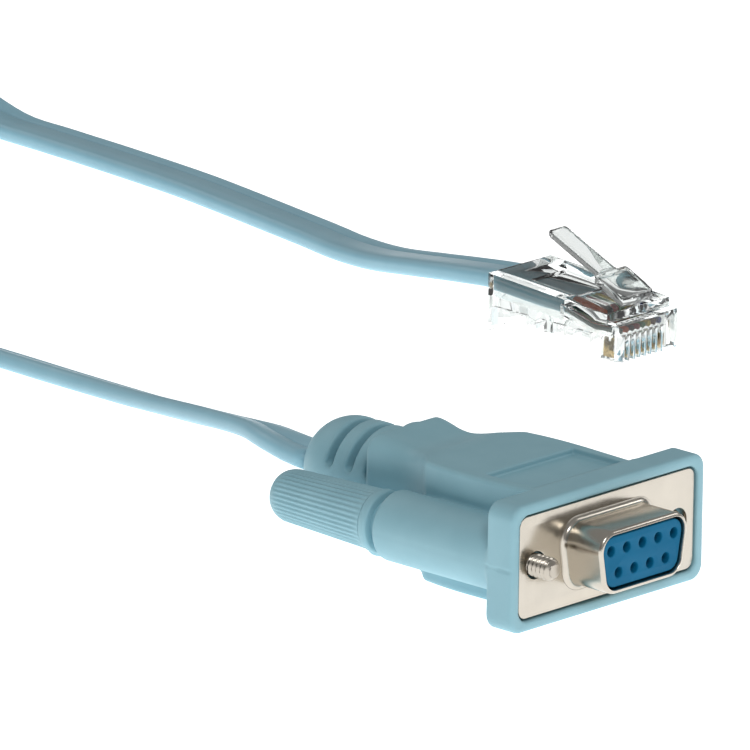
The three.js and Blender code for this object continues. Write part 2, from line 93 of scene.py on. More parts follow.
def make_camera():
    back = Vector((math.sin(CAMERA_TURN) * math.cos(CAMERA_RISE),
                   -math.cos(CAMERA_TURN) * math.cos(CAMERA_RISE), math.sin(CAMERA_RISE)))
    level = Vector((math.cos(CAMERA_TURN), math.sin(CAMERA_TURN), 0))
    upright = back.cross(level)
    right = level * math.cos(CAMERA_ROLL) + upright * math.sin(CAMERA_ROLL)
    up = upright * math.cos(CAMERA_ROLL) - level * math.sin(CAMERA_ROLL)
    aim = Vector((0, FLANGE_Y, AXIS_Z))
    aside = (FLANGE_PIXEL[0] - IMAGE / 2) / PIXELS_PER_MM
    below = (FLANGE_PIXEL[1] - IMAGE / 2) / PIXELS_PER_MM
    place = aim - aside * right + below * up + CAMERA_DISTANCE * back
    data = bpy.data.cameras.new("camera")
    data.sensor_width = SENSOR
    data.lens = CAMERA_DISTANCE * PIXELS_PER_MM / IMAGE * SENSOR
    camera = add_object("camera", data)
    turn = Matrix((right, up, back)).transposed().to_4x4()
    camera.matrix_world = Matrix.Translation(place * MM) @ turn
    bpy.context.scene.camera = camera
    return camera


camera = make_camera()
print("camera at", [round(v, 3) for v in camera.location], "lens", round(camera.data.lens, 1))

# %% [markdown]
# A material is a small graph of nodes. Most surfaces here are one colour that varies a little, with
# a fine bump, so one helper builds that graph and each finish below only gives its own values. The
# patterns read Object coordinates, so they stay fixed to the piece.

# %% Helpers for materials
def node_graph(name):
    material = bpy.data.materials.new(name)
    material.use_nodes = True
    nodes = material.node_tree.nodes
    links = material.node_tree.links
    shader = next(n for n in nodes if n.type == "BSDF_PRINCIPLED")
    return SimpleNamespace(material=material, nodes=nodes, links=links, shader=shader)


def noise(graph, scale, detail=3.0):
    place = graph.nodes.new("ShaderNodeTexCoord")
    pattern = graph.nodes.new("ShaderNodeTexNoise")
    pattern.inputs["Scale"].default_value = scale
    pattern.inputs["Detail"].default_value = detail
    graph.links.new(place.outputs["Object"], pattern.inputs["Vector"])
    return pattern.outputs["Fac"]


def mixed(graph, factor, first, second):
    ramp = graph.nodes.new("ShaderNodeValToRGB")
    ramp.color_ramp.elements[0].color = (*first, 1)
    ramp.color_ramp.elements[1].color = (*second, 1)
    ramp.color_ramp.elements[0].position = 0.3
    ramp.color_ramp.elements[1].position = 0.7
    graph.links.new(factor, ramp.inputs["Fac"])
    return ramp.outputs["Color"]


def bump(graph, height, strength, depth):
    node = graph.nodes.new("ShaderNodeBump")
    node.inputs["Strength"].default_value = strength
    node.inputs["Distance"].default_value = depth
    graph.links.new(height, node.inputs["Height"])
    graph.links.new(node.outputs["Normal"], graph.shader.inputs["Normal"])


def varied_roughness(graph, pattern, low, high):
    node = graph.nodes.new("ShaderNodeMapRange")
    node.inputs["To Min"].default_value = low
    node.inputs["To Max"].default_value = high
    graph.links.new(pattern, node.inputs["Value"])
    graph.links.new(node.outputs["Result"], graph.shader.inputs["Roughness"])


# %% [markdown]
# The hood, the knobs and the cable are the same light grey-blue vinyl, with a soft sheen. The
# moulding has a very fine grain. The socket block is a harder, deep blue plastic with less shine.

# %% Plastic finishes
CLOUD_SCALE = 260.0
WEAR_SCALE = 900.0
GRAIN_SCALE = 5200.0
GRAIN_DEPTH = 0.00002


def soft_plastic(name, first, second, low, high, grain, shine=0.45):
    graph = node_graph(name)
    cloud = noise(graph, CLOUD_SCALE)
    graph.links.new(mixed(graph, cloud, first, second), graph.shader.inputs["Base Color"])
    varied_roughness(graph, noise(graph, WEAR_SCALE), low, high)
    bump(graph, noise(graph, GRAIN_SCALE, 2.0), grain, GRAIN_DEPTH)
    graph.shader.inputs["Specular IOR Level"].default_value = shine
    return graph.material


hood_vinyl = soft_plastic("hood_vinyl", (0.262, 0.484, 0.560), (0.285, 0.512, 0.588), 0.42, 0.52, 0.25)
cable_vinyl = soft_plastic("cable_vinyl", (0.285, 0.530, 0.640), (0.310, 0.560, 0.668), 0.30, 0.38, 0.12)
socket_plastic = soft_plastic(
    "socket_plastic", (0.0005, 0.125, 0.255), (0.001, 0.140, 0.280), 0.45, 0.55, 0.2, shine=0.15)
print("plastics:", hood_vinyl.name, cable_vinyl.name, socket_plastic.name)

# %% [markdown]
# The cable is a flat eight-wire lead. It is a fixed length, so its route is settled first: straight
# out of the strain relief, down to the floor, and out of the view to a neat coil, where the length
# that the photograph doesn't show is put away. On the coil the cable stands on its edge and its
# turns lie side by side in two layers. From the coil it comes back along the floor to the plug.

# %% Cable route
CABLE_WIDTH = 6.8
CABLE_THICK = 2.2
OFF_FLOOR = 0.08
FLAT = CABLE_THICK / 2 + OFF_FLOOR
PLUG = SimpleNamespace(width=11.68, length=21.46, nose=1.34, nose_height=5.1, front_height=6.3,
                       rear_height=7.55)
PLUG_LOW, PLUG_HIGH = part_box("plug_housing")
PLUG_X = (PLUG_LOW.x + PLUG_HIGH.x) / 2 / MM
PLUG_FRONT = PLUG_LOW.y / MM
PLUG_REAR = PLUG_HIGH.y / MM
CABLE_IN_PLUG = 11.5
CABLE_PLUG_HEIGHT = 5.6
PLUG_SLOPE = (PLUG.rear_height - PLUG.front_height) / (PLUG.length - PLUG.nose)
COIL_X, COIL_Y, COIL_RADIUS = 59.0, 230.0, 40.5
COIL_PITCH, COIL_TURNS = 2.6, 6.5
POINTS_PER_TURN = 36
CLIMB_TURNS = 0.25
FIRST_LAYER, LAYER_STEP = 4.3, 7.2
TUBE_END = math.sqrt((COIL_RADIUS + CABLE_THICK / 2 + GAP) ** 2 - (COIL_RADIUS - CABLE_THICK / 2) ** 2)


def cable_level(y):
    return CABLE_PLUG_HEIGHT + (y - PLUG_REAR) * PLUG_SLOPE


# %% Routes of the two ends
# Each point is x, y, z and the roll in degrees: 0 lies flat, 90 stands on its edge. Both lists run
# from a connector towards the coil.
connector_route = [
    (0, RELIEF_REAR + FLANGE_Y + GAP, AXIS_Z + RELIEF_LIFT, 0),
    (0.1, 29, AXIS_Z + RELIEF_LIFT, -3),
    (1.1, 34.3, 8.7, -10),
    (3.0, 38.8, 8.4, -15),
    (6.3, 48, 7.0, -19),
    (9.9, 57.9, 5.3, -20),
    (13.4, 68, 3.7, -20),
    (15.9, 77.3, 2.7, -20),
    (17.3, 86, 2.2, -20),
    (18.0, 97, 2.1, -20),
    (18.3, 112, 2.1, -20),
    (18.6, 132, 2.1, -20),
    (18.8, 150, 2.1, -20),
    (18.8, 165, 2.6, -30),
    (18.7, 180, 3.3, -52),
    (18.6, 195, 3.9, -78),
    (18.5, 206, FIRST_LAYER, -90),
    (COIL_X - COIL_RADIUS, COIL_Y - TUBE_END, FIRST_LAYER, -90),
]
plug_route = [
    (PLUG_X, PLUG_REAR - CABLE_IN_PLUG, cable_level(PLUG_REAR - CABLE_IN_PLUG), 0),
    (PLUG_X, PLUG_REAR - 5, cable_level(PLUG_REAR - 5), 0),
    (PLUG_X, PLUG_REAR + 1, CABLE_PLUG_HEIGHT, 0),
    (81.8, 77, 4.9, 0),
    (83.2, 86, 3.5, 0),
    (85.2, 95, 2.0, 0),
    (87.2, 103, 1.3, 0),
    (89.0, 110, FLAT, 0),
    (90.6, 118, FLAT, 0),
    (92.4, 127, FLAT, 0),
    (94.2, 137, FLAT, 0),
    (95.8, 151, FLAT, 0),
    (96.9, 164, FLAT, 0),
    (97.4, 173, 1.3, 2),
    (98.0, 181, 2.4, 22),
    (98.7, 190, 4.5, 52),
    (99.2, 199, 7.3, 78),
    (99.4, 208, 10.2, 90),
    (COIL_X + COIL_RADIUS, COIL_Y - TUBE_END, FIRST_LAYER + LAYER_STEP, 90),
]


# %% Coil and whole route
def coil_route():
    """The turns of the coil: inwards along the floor, up, and outwards on top, clockwise from above."""
    half = COIL_TURNS / 2
    points = []
    count = int(COIL_TURNS * POINTS_PER_TURN)
    for i in range(count + 1):
        turns = COIL_TURNS * i / count
        inward = half - abs(turns - half)
        radius = COIL_RADIUS - COIL_PITCH * inward
        climb = min(max((turns - half) / CLIMB_TURNS + 0.5, 0.0), 1.0)
        z = FIRST_LAYER + LAYER_STEP * climb * climb * (3 - 2 * climb)
        angle = math.pi - 2 * math.pi * turns
        points.append((COIL_X + radius * math.cos(angle), COIL_Y + radius * math.sin(angle), z, -90))
    return points


way_back = [(x, y, z, -roll) for x, y, z, roll in reversed(plug_route)]
route = np.array(connector_route + coil_route() + way_back, float)
print("route points", len(route))

# %% [markdown]
# A smooth curve through the points has to keep its speed even, or it would bulge between a close
# pair and a far pair. The centripetal Catmull-Rom curve does that: its knots are spaced by the
# square root of the distance between the points. The result is then cut into even steps.

# %% Smooth centreline
STEP = 2.0


def smooth(points, per_span=12):
    """A centripetal Catmull-Rom curve through the points; further columns, such as roll, follow it."""
    ends = np.vstack([2 * points[0] - points[1], points, 2 * points[-1] - points[-2]])
    gaps = np.sqrt(np.linalg.norm(np.diff(ends[:, :3], axis=0), axis=1))
    knots = np.concatenate([[0], np.cumsum(gaps)])
    line = []
    for i in range(1, len(ends) - 2):
        p0, p1, p2, p3 = ends[i - 1:i + 3]
        t0, t1, t2, t3 = knots[i - 1:i + 3]
        t = np.linspace(t1, t2, per_span, endpoint=False)[:, None]
        a1 = (t1 - t) / (t1 - t0) * p0 + (t - t0) / (t1 - t0) * p1
        a2 = (t2 - t) / (t2 - t1) * p1 + (t - t1) / (t2 - t1) * p2
        a3 = (t3 - t) / (t3 - t2) * p2 + (t - t2) / (t3 - t2) * p3
        b1 = (t2 - t) / (t2 - t0) * a1 + (t - t0) / (t2 - t0) * a2
        b2 = (t3 - t) / (t3 - t1) * a2 + (t - t1) / (t3 - t1) * a3
        line.append((t2 - t) / (t2 - t1) * b1 + (t - t1) / (t2 - t1) * b2)
    return np.vstack([*line, points[-1:]])


def even_steps(line, step):
    along = np.concatenate([[0], np.cumsum(np.linalg.norm(np.diff(line[:, :3], axis=0), axis=1))])
    places = np.linspace(0, along[-1], int(along[-1] / step) + 1)
    return np.stack([np.interp(places, along, column) for column in line.T], axis=1), along[-1]


centreline, cable_length = even_steps(smooth(route), STEP)
print("cable length, mm", round(cable_length, 1), "steps", len(centreline))

# %% [markdown]
# The cable's section is a flat band with round edges. A fine groove runs along each face, where
# the jacket splits for stripping. The section is carried along the centreline, turned by its roll,
# and both ends are closed.

# %% Cable
CABLE_EDGE = 0.95
GROOVE_PLACE = -0.75
GROOVE_DEPTH = 0.32
GROOVE_WIDTH = 0.24


def cable_section():
    """Points of the section, anticlockwise, as (across, up) in millimetres."""
    half_width, half_thick = CABLE_WIDTH / 2, CABLE_THICK / 2
    corner = []
    for x, z, first in ((1, -1, -90), (1, 1, 0), (-1, 1, 90), (-1, -1, 180)):
        for turn in range(0, 91, 18):
            angle = math.radians(first + turn)
            across = x * (half_width - CABLE_EDGE) + CABLE_EDGE * math.cos(angle)
            corner.append((across, z * (half_thick - CABLE_EDGE) + CABLE_EDGE * math.sin(angle)))
    groove = [(GROOVE_WIDTH, 0.0), (0.0, GROOVE_DEPTH), (-GROOVE_WIDTH, 0.0)]
    top = [(GROOVE_PLACE + dx, half_thick - dz) for dx, dz in groove]
    bottom = [(GROOVE_PLACE - dx, dz - half_thick) for dx, dz in groove]
    half = len(corner) // 2
    return np.array(corner[:half] + top + corner[half:] + bottom)


# %% Sweep and skin
def sweep(name, line, section, material):
    """A closed mesh of the section carried along a line of x, y, z and roll."""
    places = line[:, :3]
    tangent = np.gradient(places, axis=0)
    tangent /= np.linalg.norm(tangent, axis=1, keepdims=True)
    level = np.cross(tangent, (0, 0, 1))
    level /= np.linalg.norm(level, axis=1, keepdims=True)
    upright = np.cross(level, tangent)
    roll = np.radians(line[:, 3])[:, None]
    across = level * np.cos(roll) + upright * np.sin(roll)
    over = upright * np.cos(roll) - level * np.sin(roll)
    rings = [p + section[:, :1] * a + section[:, 1:] * o for p, a, o in zip(places, across, over)]
    return skinned(name, rings, material)


def skinned(name, rings, material, closed_ends=True):
    """A mesh over rings of points with equal counts. Distances come in millimetres."""
    count = len(rings[0])
    points = np.vstack(rings)
    faces = []
    for row in range(len(rings) - 1):
        for i in range(count):
            j = (i + 1) % count
            faces.append((row * count + i, row * count + j, (row + 1) * count + j, (row + 1) * count + i))
    if closed_ends:
        last = (len(rings) - 1) * count
        faces.append(tuple(reversed(range(count))))
        faces.append(tuple(range(last, last + count)))
    return mesh_piece(name, points, faces, material)


def smooth_shaded(mesh, sharp_angle=None):
    mesh.polygons.foreach_set("use_smooth", [True] * len(mesh.polygons))
    if sharp_angle is not None:
        mesh.set_sharp_from_angle(angle=math.radians(sharp_angle))


def mesh_piece(name, points, faces, material):
    mesh = bpy.data.meshes.new(name)
    mesh.from_pydata((np.asarray(points) * MM).tolist(), [], faces)
    mesh.validate()
    shape = bmesh.new()
    shape.from_mesh(mesh)
    bmesh.ops.recalc_face_normals(shape, faces=shape.faces)
    shape.to_mesh(mesh)
    shape.free()
    smooth_shaded(mesh)
    mesh.materials.append(material)
    return add_object(name, mesh)


# %% Cable mesh
cable = sweep("cable", centreline, cable_section(), cable_vinyl)
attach(cable, "root")
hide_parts("cable_at_connector", "cable_coil", "cable_at_plug")
print("cable faces", len(cable.data.polygons))

# %% [markdown]
# The hood is one injection moulding: a bezel, a block, two barrels, a flared neck and a ribbed strain
# relief all flow into each other with small fillets. Such a shape is easiest to describe by a distance
# field. Each form is a formula for the distance to its surface, negative inside, and a soft minimum
# joins two forms with a fillet. A grid of samples then gives the skin.

# %% Distance forms
def band(across, up, half_width, half_height, corner):
    """Distance in a plane to a rounded rectangle."""
    x = np.abs(across) - half_width + corner
    z = np.abs(up) - half_height + corner
    return np.hypot(np.maximum(x, 0), np.maximum(z, 0)) + np.minimum(np.maximum(x, z), 0) - corner


def pulled(outline, y, front, rear, edge):
    """A plane outline pulled along Y between two planes, with its end edges rounded."""
    along = np.abs(y - (front + rear) / 2) - (rear - front) / 2 + edge
    side = outline + edge
    return np.minimum(np.maximum(side, along), 0) + np.hypot(np.maximum(side, 0), np.maximum(along, 0)) - edge


def joined(first, second, fillet):
    near = np.maximum(fillet - np.abs(first - second), 0) / fillet
    return np.minimum(first, second) - near * near * fillet / 4


def carved(body, hollow, fillet=0.15):
    return -joined(-body, hollow, fillet)


# %% [markdown]
# The neck's half width and half height change along the connector, as the photograph shows: straight
# over the block, drawn in at the waist, and out again to a lip just before the strain relief.

# %% Hood form
BEZEL = SimpleNamespace(half_width=17.0, half_height=7.9, corner=1.9, front=-0.3, rear=4.0, edge=0.55)
BLOCK_FRONT = 2.0
BLOCK_TOP = 7.5
NECK_PLACES = (2.0, 20.4, 21.0, 21.6, 22.4, 23.4, 24.8, 26.4, 28.6, 30.6, 31.8, 34.0)
NECK_WIDTHS = (9.2, 9.2, 9.1, 8.75, 8.1, 7.5, 6.9, 6.5, 6.45, 6.8, 6.95, 7.0)
NECK_HEIGHTS = (7.5, 7.5, 7.5, 7.5, 7.46, 7.38, 7.15, 7.0, 7.2, 7.5, 7.65, 7.7)
NECK_CORNERS = (0.7, 0.7, 0.7, 0.8, 1.0, 1.2, 1.6, 2.0, 2.3, 2.4, 2.4, 2.4)
NECK_REAR = 32.9
NECK_EDGE = 0.6
BARREL = SimpleNamespace(radius=4.35, rear=22.6, bore=3.1, bore_front=5.5, edge=0.4)
PANEL = SimpleNamespace(half_width=7.7, front=4.9, rear=12.6, depth=0.75)
FLANGE_SEAT = SimpleNamespace(half_width=15.7, half_height=6.58, corner=1.5, front=-2.0, rear=1.1)
RELIEF = SimpleNamespace(radius=6.25, front=NECK_REAR - 3, dome_front=41.0, dome_reach=6.0, dome_share=0.9,
                         edge=0.5, core=3.6, web=1.5, slot=0.62)
RELIEF_SLOTS = (33.4, 36.6, 39.8)
FILLET = SimpleNamespace(block=0.7, barrel=0.6, relief=0.3, slot=0.25, seam=0.1)
CRISP_EDGE = 0.1
SEAM_RADIUS = 0.16
PAST_KNOBS = 60.0


def eased(y, places, values):
    """Values between the listed places, turned smoothly through each of them."""
    places, values = np.array(places), np.array(values)
    slopes = np.gradient(values, places)
    i = np.clip(np.searchsorted(places, y) - 1, 0, len(places) - 2)
    gap = places[i + 1] - places[i]
    t = np.clip((y - places[i]) / gap, 0, 1)
    a, b = values[i], values[i + 1]
    return ((1 + 2 * t) * (1 - t) ** 2 * a + t * (1 - t) ** 2 * gap * slopes[i]
            + t * t * (3 - 2 * t) * b + t * t * (t - 1) * gap * slopes[i + 1])


# %% Hood and strain relief
def strain_relief_form(x, y, z):
    lifted = z - RELIEF_LIFT
    past = np.clip((y - RELIEF.dome_front) / RELIEF.dome_reach, 0, RELIEF.dome_share)
    from_axis = np.hypot(x, lifted)
    dome = from_axis - RELIEF.radius * np.sqrt(1 - past * past)
    form = pulled(dome, y, RELIEF.front, RELIEF_REAR, RELIEF.edge)
    for place in RELIEF_SLOTS:
        into_web = np.maximum(RELIEF.web + RELIEF.slot - np.abs(lifted), 0)
        slot = np.maximum(np.hypot(y - place, into_web) - RELIEF.slot, RELIEF.core - from_axis)
        form = carved(form, slot, FILLET.slot)
    return form


def hood_form(x, y, z):
    face = band(x, z, BEZEL.half_width, BEZEL.half_height, BEZEL.corner)
    bezel = pulled(face, y, BEZEL.front, BEZEL.rear, BEZEL.edge)
    half_width = eased(y, NECK_PLACES, NECK_WIDTHS)
    half_height = eased(y, NECK_PLACES, NECK_HEIGHTS)
    section = band(x, z, half_width, half_height, eased(y, NECK_PLACES, NECK_CORNERS))
    body = pulled(section, y, BLOCK_FRONT, NECK_REAR, NECK_EDGE)
    from_screw = np.hypot(np.abs(x) - SCREW_X, z)
    barrel = pulled(from_screw - BARREL.radius, y, BLOCK_FRONT, BARREL.rear, BARREL.edge)
    form = joined(joined(bezel, body, FILLET.block), barrel, FILLET.barrel)
    form = joined(form, strain_relief_form(x, y, z), FILLET.relief)
    label = band(x, np.abs(z) - BLOCK_TOP, PANEL.half_width, PANEL.depth, CRISP_EDGE)
    form = carved(form, pulled(label, y, PANEL.front, PANEL.rear, CRISP_EDGE))
    seat = band(x, z, FLANGE_SEAT.half_width, FLANGE_SEAT.half_height, FLANGE_SEAT.corner)
    form = carved(form, pulled(seat, y, FLANGE_SEAT.front, FLANGE_SEAT.rear, CRISP_EDGE))
    form = carved(form, pulled(from_screw - BARREL.bore, y, BARREL.bore_front, PAST_KNOBS, CRISP_EDGE))
    seam = np.hypot(np.abs(x) - BEZEL.half_width, z) - SEAM_RADIUS
    return carved(form, seam, FILLET.seam)


# %% [markdown]
# The skin comes from surface nets: every cell of the grid that the surface crosses gets one point, at
# the mean of its edge crossings, and each crossed grid edge joins the four points around it in a quad.
# Two short steps along the form's slope then bring the points onto the surface itself.

# %% Skin of a form
def skin_of(form, low, high, step):
    axes = [np.arange(a, b + step, step) for a, b in zip(low, high)]
    grid = np.meshgrid(*axes, indexing="ij")
    values = form(*grid)
    inside = values < 0
    cells = np.zeros(tuple(n - 1 for n in values.shape), np.int8)
    corners = [(i, j, k) for i in (0, 1) for j in (0, 1) for k in (0, 1)]
    for i, j, k in corners:
        cells += inside[i:i + cells.shape[0], j:j + cells.shape[1], k:k + cells.shape[2]]
    crossed = np.argwhere((cells > 0) & (cells < 8))
    number = np.full(cells.shape, -1)
    number[tuple(crossed.T)] = np.arange(len(crossed))
    total = np.zeros((len(crossed), 3))
    count = np.zeros(len(crossed))
    for a in corners:
        for axis in range(3):
            if a[axis]:
                continue
            start = crossed + a
            end = start.copy()
            end[:, axis] += 1
            v0, v1 = values[tuple(start.T)], values[tuple(end.T)]
            hit = (v0 < 0) != (v1 < 0)
            share = np.where(hit, v0 / np.where(hit, v0 - v1, 1), 0)
            place = start.astype(float)
            place[:, axis] += share
            total += place * hit[:, None]
            count += hit
    points = np.array(low) + total / count[:, None] * step
    return points, net_faces(inside, number)


# %% Faces of the skin
def net_faces(inside, number):
    """Quads round every grid edge that the surface crosses, turned to face outwards."""
    faces = []
    for axis in range(3):
        b, c = (axis + 1) % 3, (axis + 2) % 3
        here = [slice(None)] * 3
        there = [slice(None)] * 3
        here[axis], there[axis] = slice(None, -1), slice(1, None)
        change = np.argwhere(inside[tuple(here)] != inside[tuple(there)])
        keep = (change[:, b] > 0) & (change[:, c] > 0)
        keep &= (change[:, b] < number.shape[b]) & (change[:, c] < number.shape[c])
        change = change[keep]
        ring = []
        for db, dc in ((1, 1), (0, 1), (0, 0), (1, 0)):
            cell = change.copy()
            cell[:, b] -= db
            cell[:, c] -= dc
            ring.append(number[tuple(cell.T)])
        quads = np.stack(ring, axis=1)
        outward = inside[tuple(change.T)]
        faces.append(np.where(outward[:, None], quads, quads[:, ::-1]))
    return np.vstack(faces)


# %% Points brought onto the surface
def settle(form, points, passes=2, probe=0.02, least_slope=0.25, longest_step=0.12):
    for _ in range(passes):
        value = form(*points.T)
        slope = np.stack([form(*(points + shift).T) - value for shift in np.eye(3) * probe], axis=1) / probe
        size = np.maximum((slope ** 2).sum(axis=1, keepdims=True), least_slope)
        points = points - np.clip(value[:, None] * slope / size, -longest_step, longest_step)
    return points


def to_row(points):
    """From the connector's own axis to the frame that the whole lead lies in."""
    return np.asarray(points, float) + (0, FLANGE_Y, AXIS_Z)


# %% Hood mesh
HOOD_STEP = 0.27
GRID_LOW = (-17.6, -0.9, -8.5)
GRID_HIGH = (17.6, RELIEF_REAR + 0.6, 8.5)
points, faces = skin_of(hood_form, GRID_LOW, GRID_HIGH, HOOD_STEP)
points = to_row(settle(hood_form, points))
points = np.clip(points, np.array(hood_low) / MM, np.array(hood_high) / MM)
hood = mesh_piece("moulded_hood", points, faces.tolist(), hood_vinyl)
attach(hood, "root")
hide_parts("hood")
print("hood faces", len(hood.data.polygons), "box", [list(c) for c in (np.min(points, 0), np.max(points, 0))])

# %% [markdown]
# Three metals are used: the nickel plate of the front, the darker plate of the screws and the gold
# of the contacts. All three are one graph, a metal whose colour and roughness change a little from
# place to place, as plating does, so the helper takes the colour and the range of the roughness.

# %% Metal finishes
FOGGED = 0.93
FOG_SCALE = 300.0
POLISH_SCALE = 1100.0
PLATING_SCALE = 2600.0


def plated(name, colour, low, high, grain):
    graph = node_graph(name)
    graph.shader.inputs["Metallic"].default_value = 1.0
    fog = noise(graph, FOG_SCALE, 4.0)
    darker = tuple(c * FOGGED for c in colour)
    graph.links.new(mixed(graph, fog, darker, colour), graph.shader.inputs["Base Color"])
    varied_roughness(graph, noise(graph, POLISH_SCALE, 4.0), low, high)
    bump(graph, noise(graph, PLATING_SCALE, 3.0), grain, GRAIN_DEPTH)
    return graph.material


nickel = plated("nickel_plate", (0.56, 0.52, 0.455), 0.18, 0.28, 0.12)
screw_metal = plated("screw_plate", (0.50, 0.46, 0.40), 0.24, 0.34, 0.10)
gold_plate = plated("gold_plate", (0.83, 0.58, 0.22), 0.18, 0.28, 0.05)
print("metals:", nickel.name, screw_metal.name, gold_plate.name)

# %% [markdown]
# The D of the connector keeps the two halves from being joined the wrong way round: its sides slant
# in by 10 degrees. The outline is four corners, each replaced by an arc. An inset moves every side
# by the same distance, so one function gives the outside, the wall and the insulator that fills it.

# %% D outline
SHELL = SimpleNamespace(width=16.33, height=7.9, slant=math.radians(10), corner=2.4, wall=0.5)
LEAST_CORNER = 0.3


def arc_corner(corner, before, after, radius, count):
    inward = (corner - before) / np.linalg.norm(corner - before)
    outward = (after - corner) / np.linalg.norm(after - corner)
    turn = math.acos(float(inward @ outward))
    start = corner - inward * radius * math.tan(turn / 2)
    centre = start + np.array((-inward[1], inward[0])) * radius
    angle = math.atan2(start[1] - centre[1], start[0] - centre[0])
    turns = np.linspace(angle, angle + turn, count)
    return [centre + radius * np.array((math.cos(a), math.sin(a))) for a in turns]


def rounded_outline(corners, radius, count=10):
    corners = np.array(corners, float)
    points = []
    for i, corner in enumerate(corners):
        points += arc_corner(corner, corners[i - 1], corners[(i + 1) % len(corners)], radius, count)
    return np.array(points)


def d_outline(inset, count=10):
    half = SHELL.height / 2
    z = half - inset
    middle = SHELL.width / 2 - half * math.tan(SHELL.slant) - inset / math.cos(SHELL.slant)
    top, bottom = middle + z * math.tan(SHELL.slant), middle - z * math.tan(SHELL.slant)
    corners = [(-bottom, -z), (bottom, -z), (top, z), (-top, z)]
    return rounded_outline(corners, max(SHELL.corner - inset, LEAST_CORNER), count)


def at_depth(outline, y):
    return to_row(np.stack([outline[:, 0], np.full(len(outline), y), outline[:, 1]], axis=1))


print("points round the D", len(d_outline(0)))


# %% [markdown]
# The flange, the insulator and the straps are all flat outlines with holes and a little roundness at
# the edges. A 2D curve does this well: Blender fills the space between its loops, gives it thickness
# and bevels the edges, and the result is then turned into a mesh.

# %% Plates with holes
def finished_mesh(obj):
    """The mesh that an object gives once its curve or its modifiers are worked out."""
    bpy.context.view_layer.update()
    return bpy.data.meshes.new_from_object(obj.evaluated_get(bpy.context.evaluated_depsgraph_get()))


def filled(name, outlines, thick, edge, material):
    """A flat piece across Y, centred on the origin. The first outline is its border, the others are holes."""
    curve = bpy.data.curves.new(name, "CURVE")
    curve.dimensions = "2D"
    curve.fill_mode = "BOTH"
    for outline in outlines:
        spline = curve.splines.new("POLY")
        spline.points.add(len(outline) - 1)
        for point, (across, up) in zip(spline.points, outline):
            point.co = (across * MM, up * MM, 0, 1)
        spline.use_cyclic_u = True
    curve.extrude = (thick / 2 - edge) * MM
    curve.bevel_depth = edge * MM
    curve.bevel_resolution = 2
    curve.offset = -edge * MM
    holder = add_object(name, curve)
    mesh = finished_mesh(holder)
    bpy.data.objects.remove(holder)
    mesh.transform(Matrix.Rotation(math.pi / 2, 4, "X"))
    mesh.name = name
    mesh.materials.clear()
    mesh.materials.append(material)
    obj = add_object(name, mesh)
    tidy_faces(obj)
    return obj


# %% Plates, circles and joins
def plate(name, outlines, front, rear, edge, material):
    """A flat piece between two planes of the connector."""
    obj = filled(name, outlines, rear - front, edge, material)
    obj.data.transform(Matrix.Translation(Vector(to_row((0, (front + rear) / 2, 0))) * MM))
    return obj


SAME_POINT = 1e-7


def tidy_faces(obj, angle=35):
    """Merges doubles, points the faces outwards and keeps only the true edges sharp."""
    shape = bmesh.new()
    shape.from_mesh(obj.data)
    bmesh.ops.remove_doubles(shape, verts=shape.verts, dist=SAME_POINT)
    bmesh.ops.recalc_face_normals(shape, faces=shape.faces)
    shape.to_mesh(obj.data)
    shape.free()
    smooth_shaded(obj.data, angle)


def circle(radius, x=0.0, z=0.0, count=40):
    angles = np.linspace(0, 2 * math.pi, count, endpoint=False)
    return np.stack([x + radius * np.cos(angles), z + radius * np.sin(angles)], axis=1)


def fused(name, pieces):
    """Several meshes made one object."""
    shape = bmesh.new()
    for obj in pieces:
        shape.from_mesh(obj.data)
    mesh = bpy.data.meshes.new(name)
    shape.to_mesh(mesh)
    shape.free()
    mesh.materials.append(pieces[0].data.materials[0])
    for obj in pieces:
        bpy.data.objects.remove(obj)
    return add_object(name, mesh)


# %% [markdown]
# The front of the connector is one pressed sheet of nickel-plated steel. The D stands out of the
# flange on a small bend and its front edge is rolled inwards, so its profile is carried round the D
# as offsets of one outline: each ring is the same D, set in or out, at its own depth.

# %% Pressed metal front
FLANGE = SimpleNamespace(half_width=15.405, half_height=6.275, thick=0.8, corner=1.2, hole=1.7)
BEND = 0.7
ROLL = 0.45
SHEET_EDGE = 0.06
D_STEPS = 14
SHARP_IN_SHEET = 40


def flange_plate():
    w, h = FLANGE.half_width, FLANGE.half_height
    border = rounded_outline([(-w, -h), (w, -h), (w, h), (-w, h)], FLANGE.corner)
    holes = [circle(FLANGE.hole, x) for x in (-SCREW_X, SCREW_X)]
    return plate("flange", [border, d_outline(-BEND, D_STEPS), *holes], 0, FLANGE.thick, SHEET_EDGE, nickel)


def d_skirt():
    quarter = [math.radians(a) for a in (0, 18, 36, 54, 72, 90)]
    bend = [(-BEND * (1 - math.sin(a)), -BEND * (1 - math.cos(a))) for a in quarter]
    roll = [(ROLL * (1 - math.cos(a)), -SHELL_DEPTH + ROLL * (1 - math.sin(a))) for a in quarter]
    inner = [(SHELL.wall, -SHELL_DEPTH + SHEET_EDGE), (SHELL.wall + 0.02, -SHELL_DEPTH + 0.5),
             (SHELL.wall, FLANGE.thick)]
    profile = [(-BEND, FLANGE.thick), *bend, *roll, *inner]
    rings = [at_depth(d_outline(inset, D_STEPS), y) for inset, y in profile]
    rings.append(rings[0])
    skirt = skinned("skirt", rings, nickel, closed_ends=False)
    tidy_faces(skirt, SHARP_IN_SHEET)
    return skirt


metal_front = fused("metal_front", [flange_plate(), d_skirt()])
smooth_shaded(metal_front.data, SHARP_IN_SHEET)
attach(metal_front, "root")
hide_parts("metal_shell")
print("metal front faces", len(metal_front.data.polygons))

# %% [markdown]
# The blue insulator fills the D. Its nine socket mouths are chamfered so that pins find their way in,
# five in the upper row and four below, on a 2.77 mm pitch.

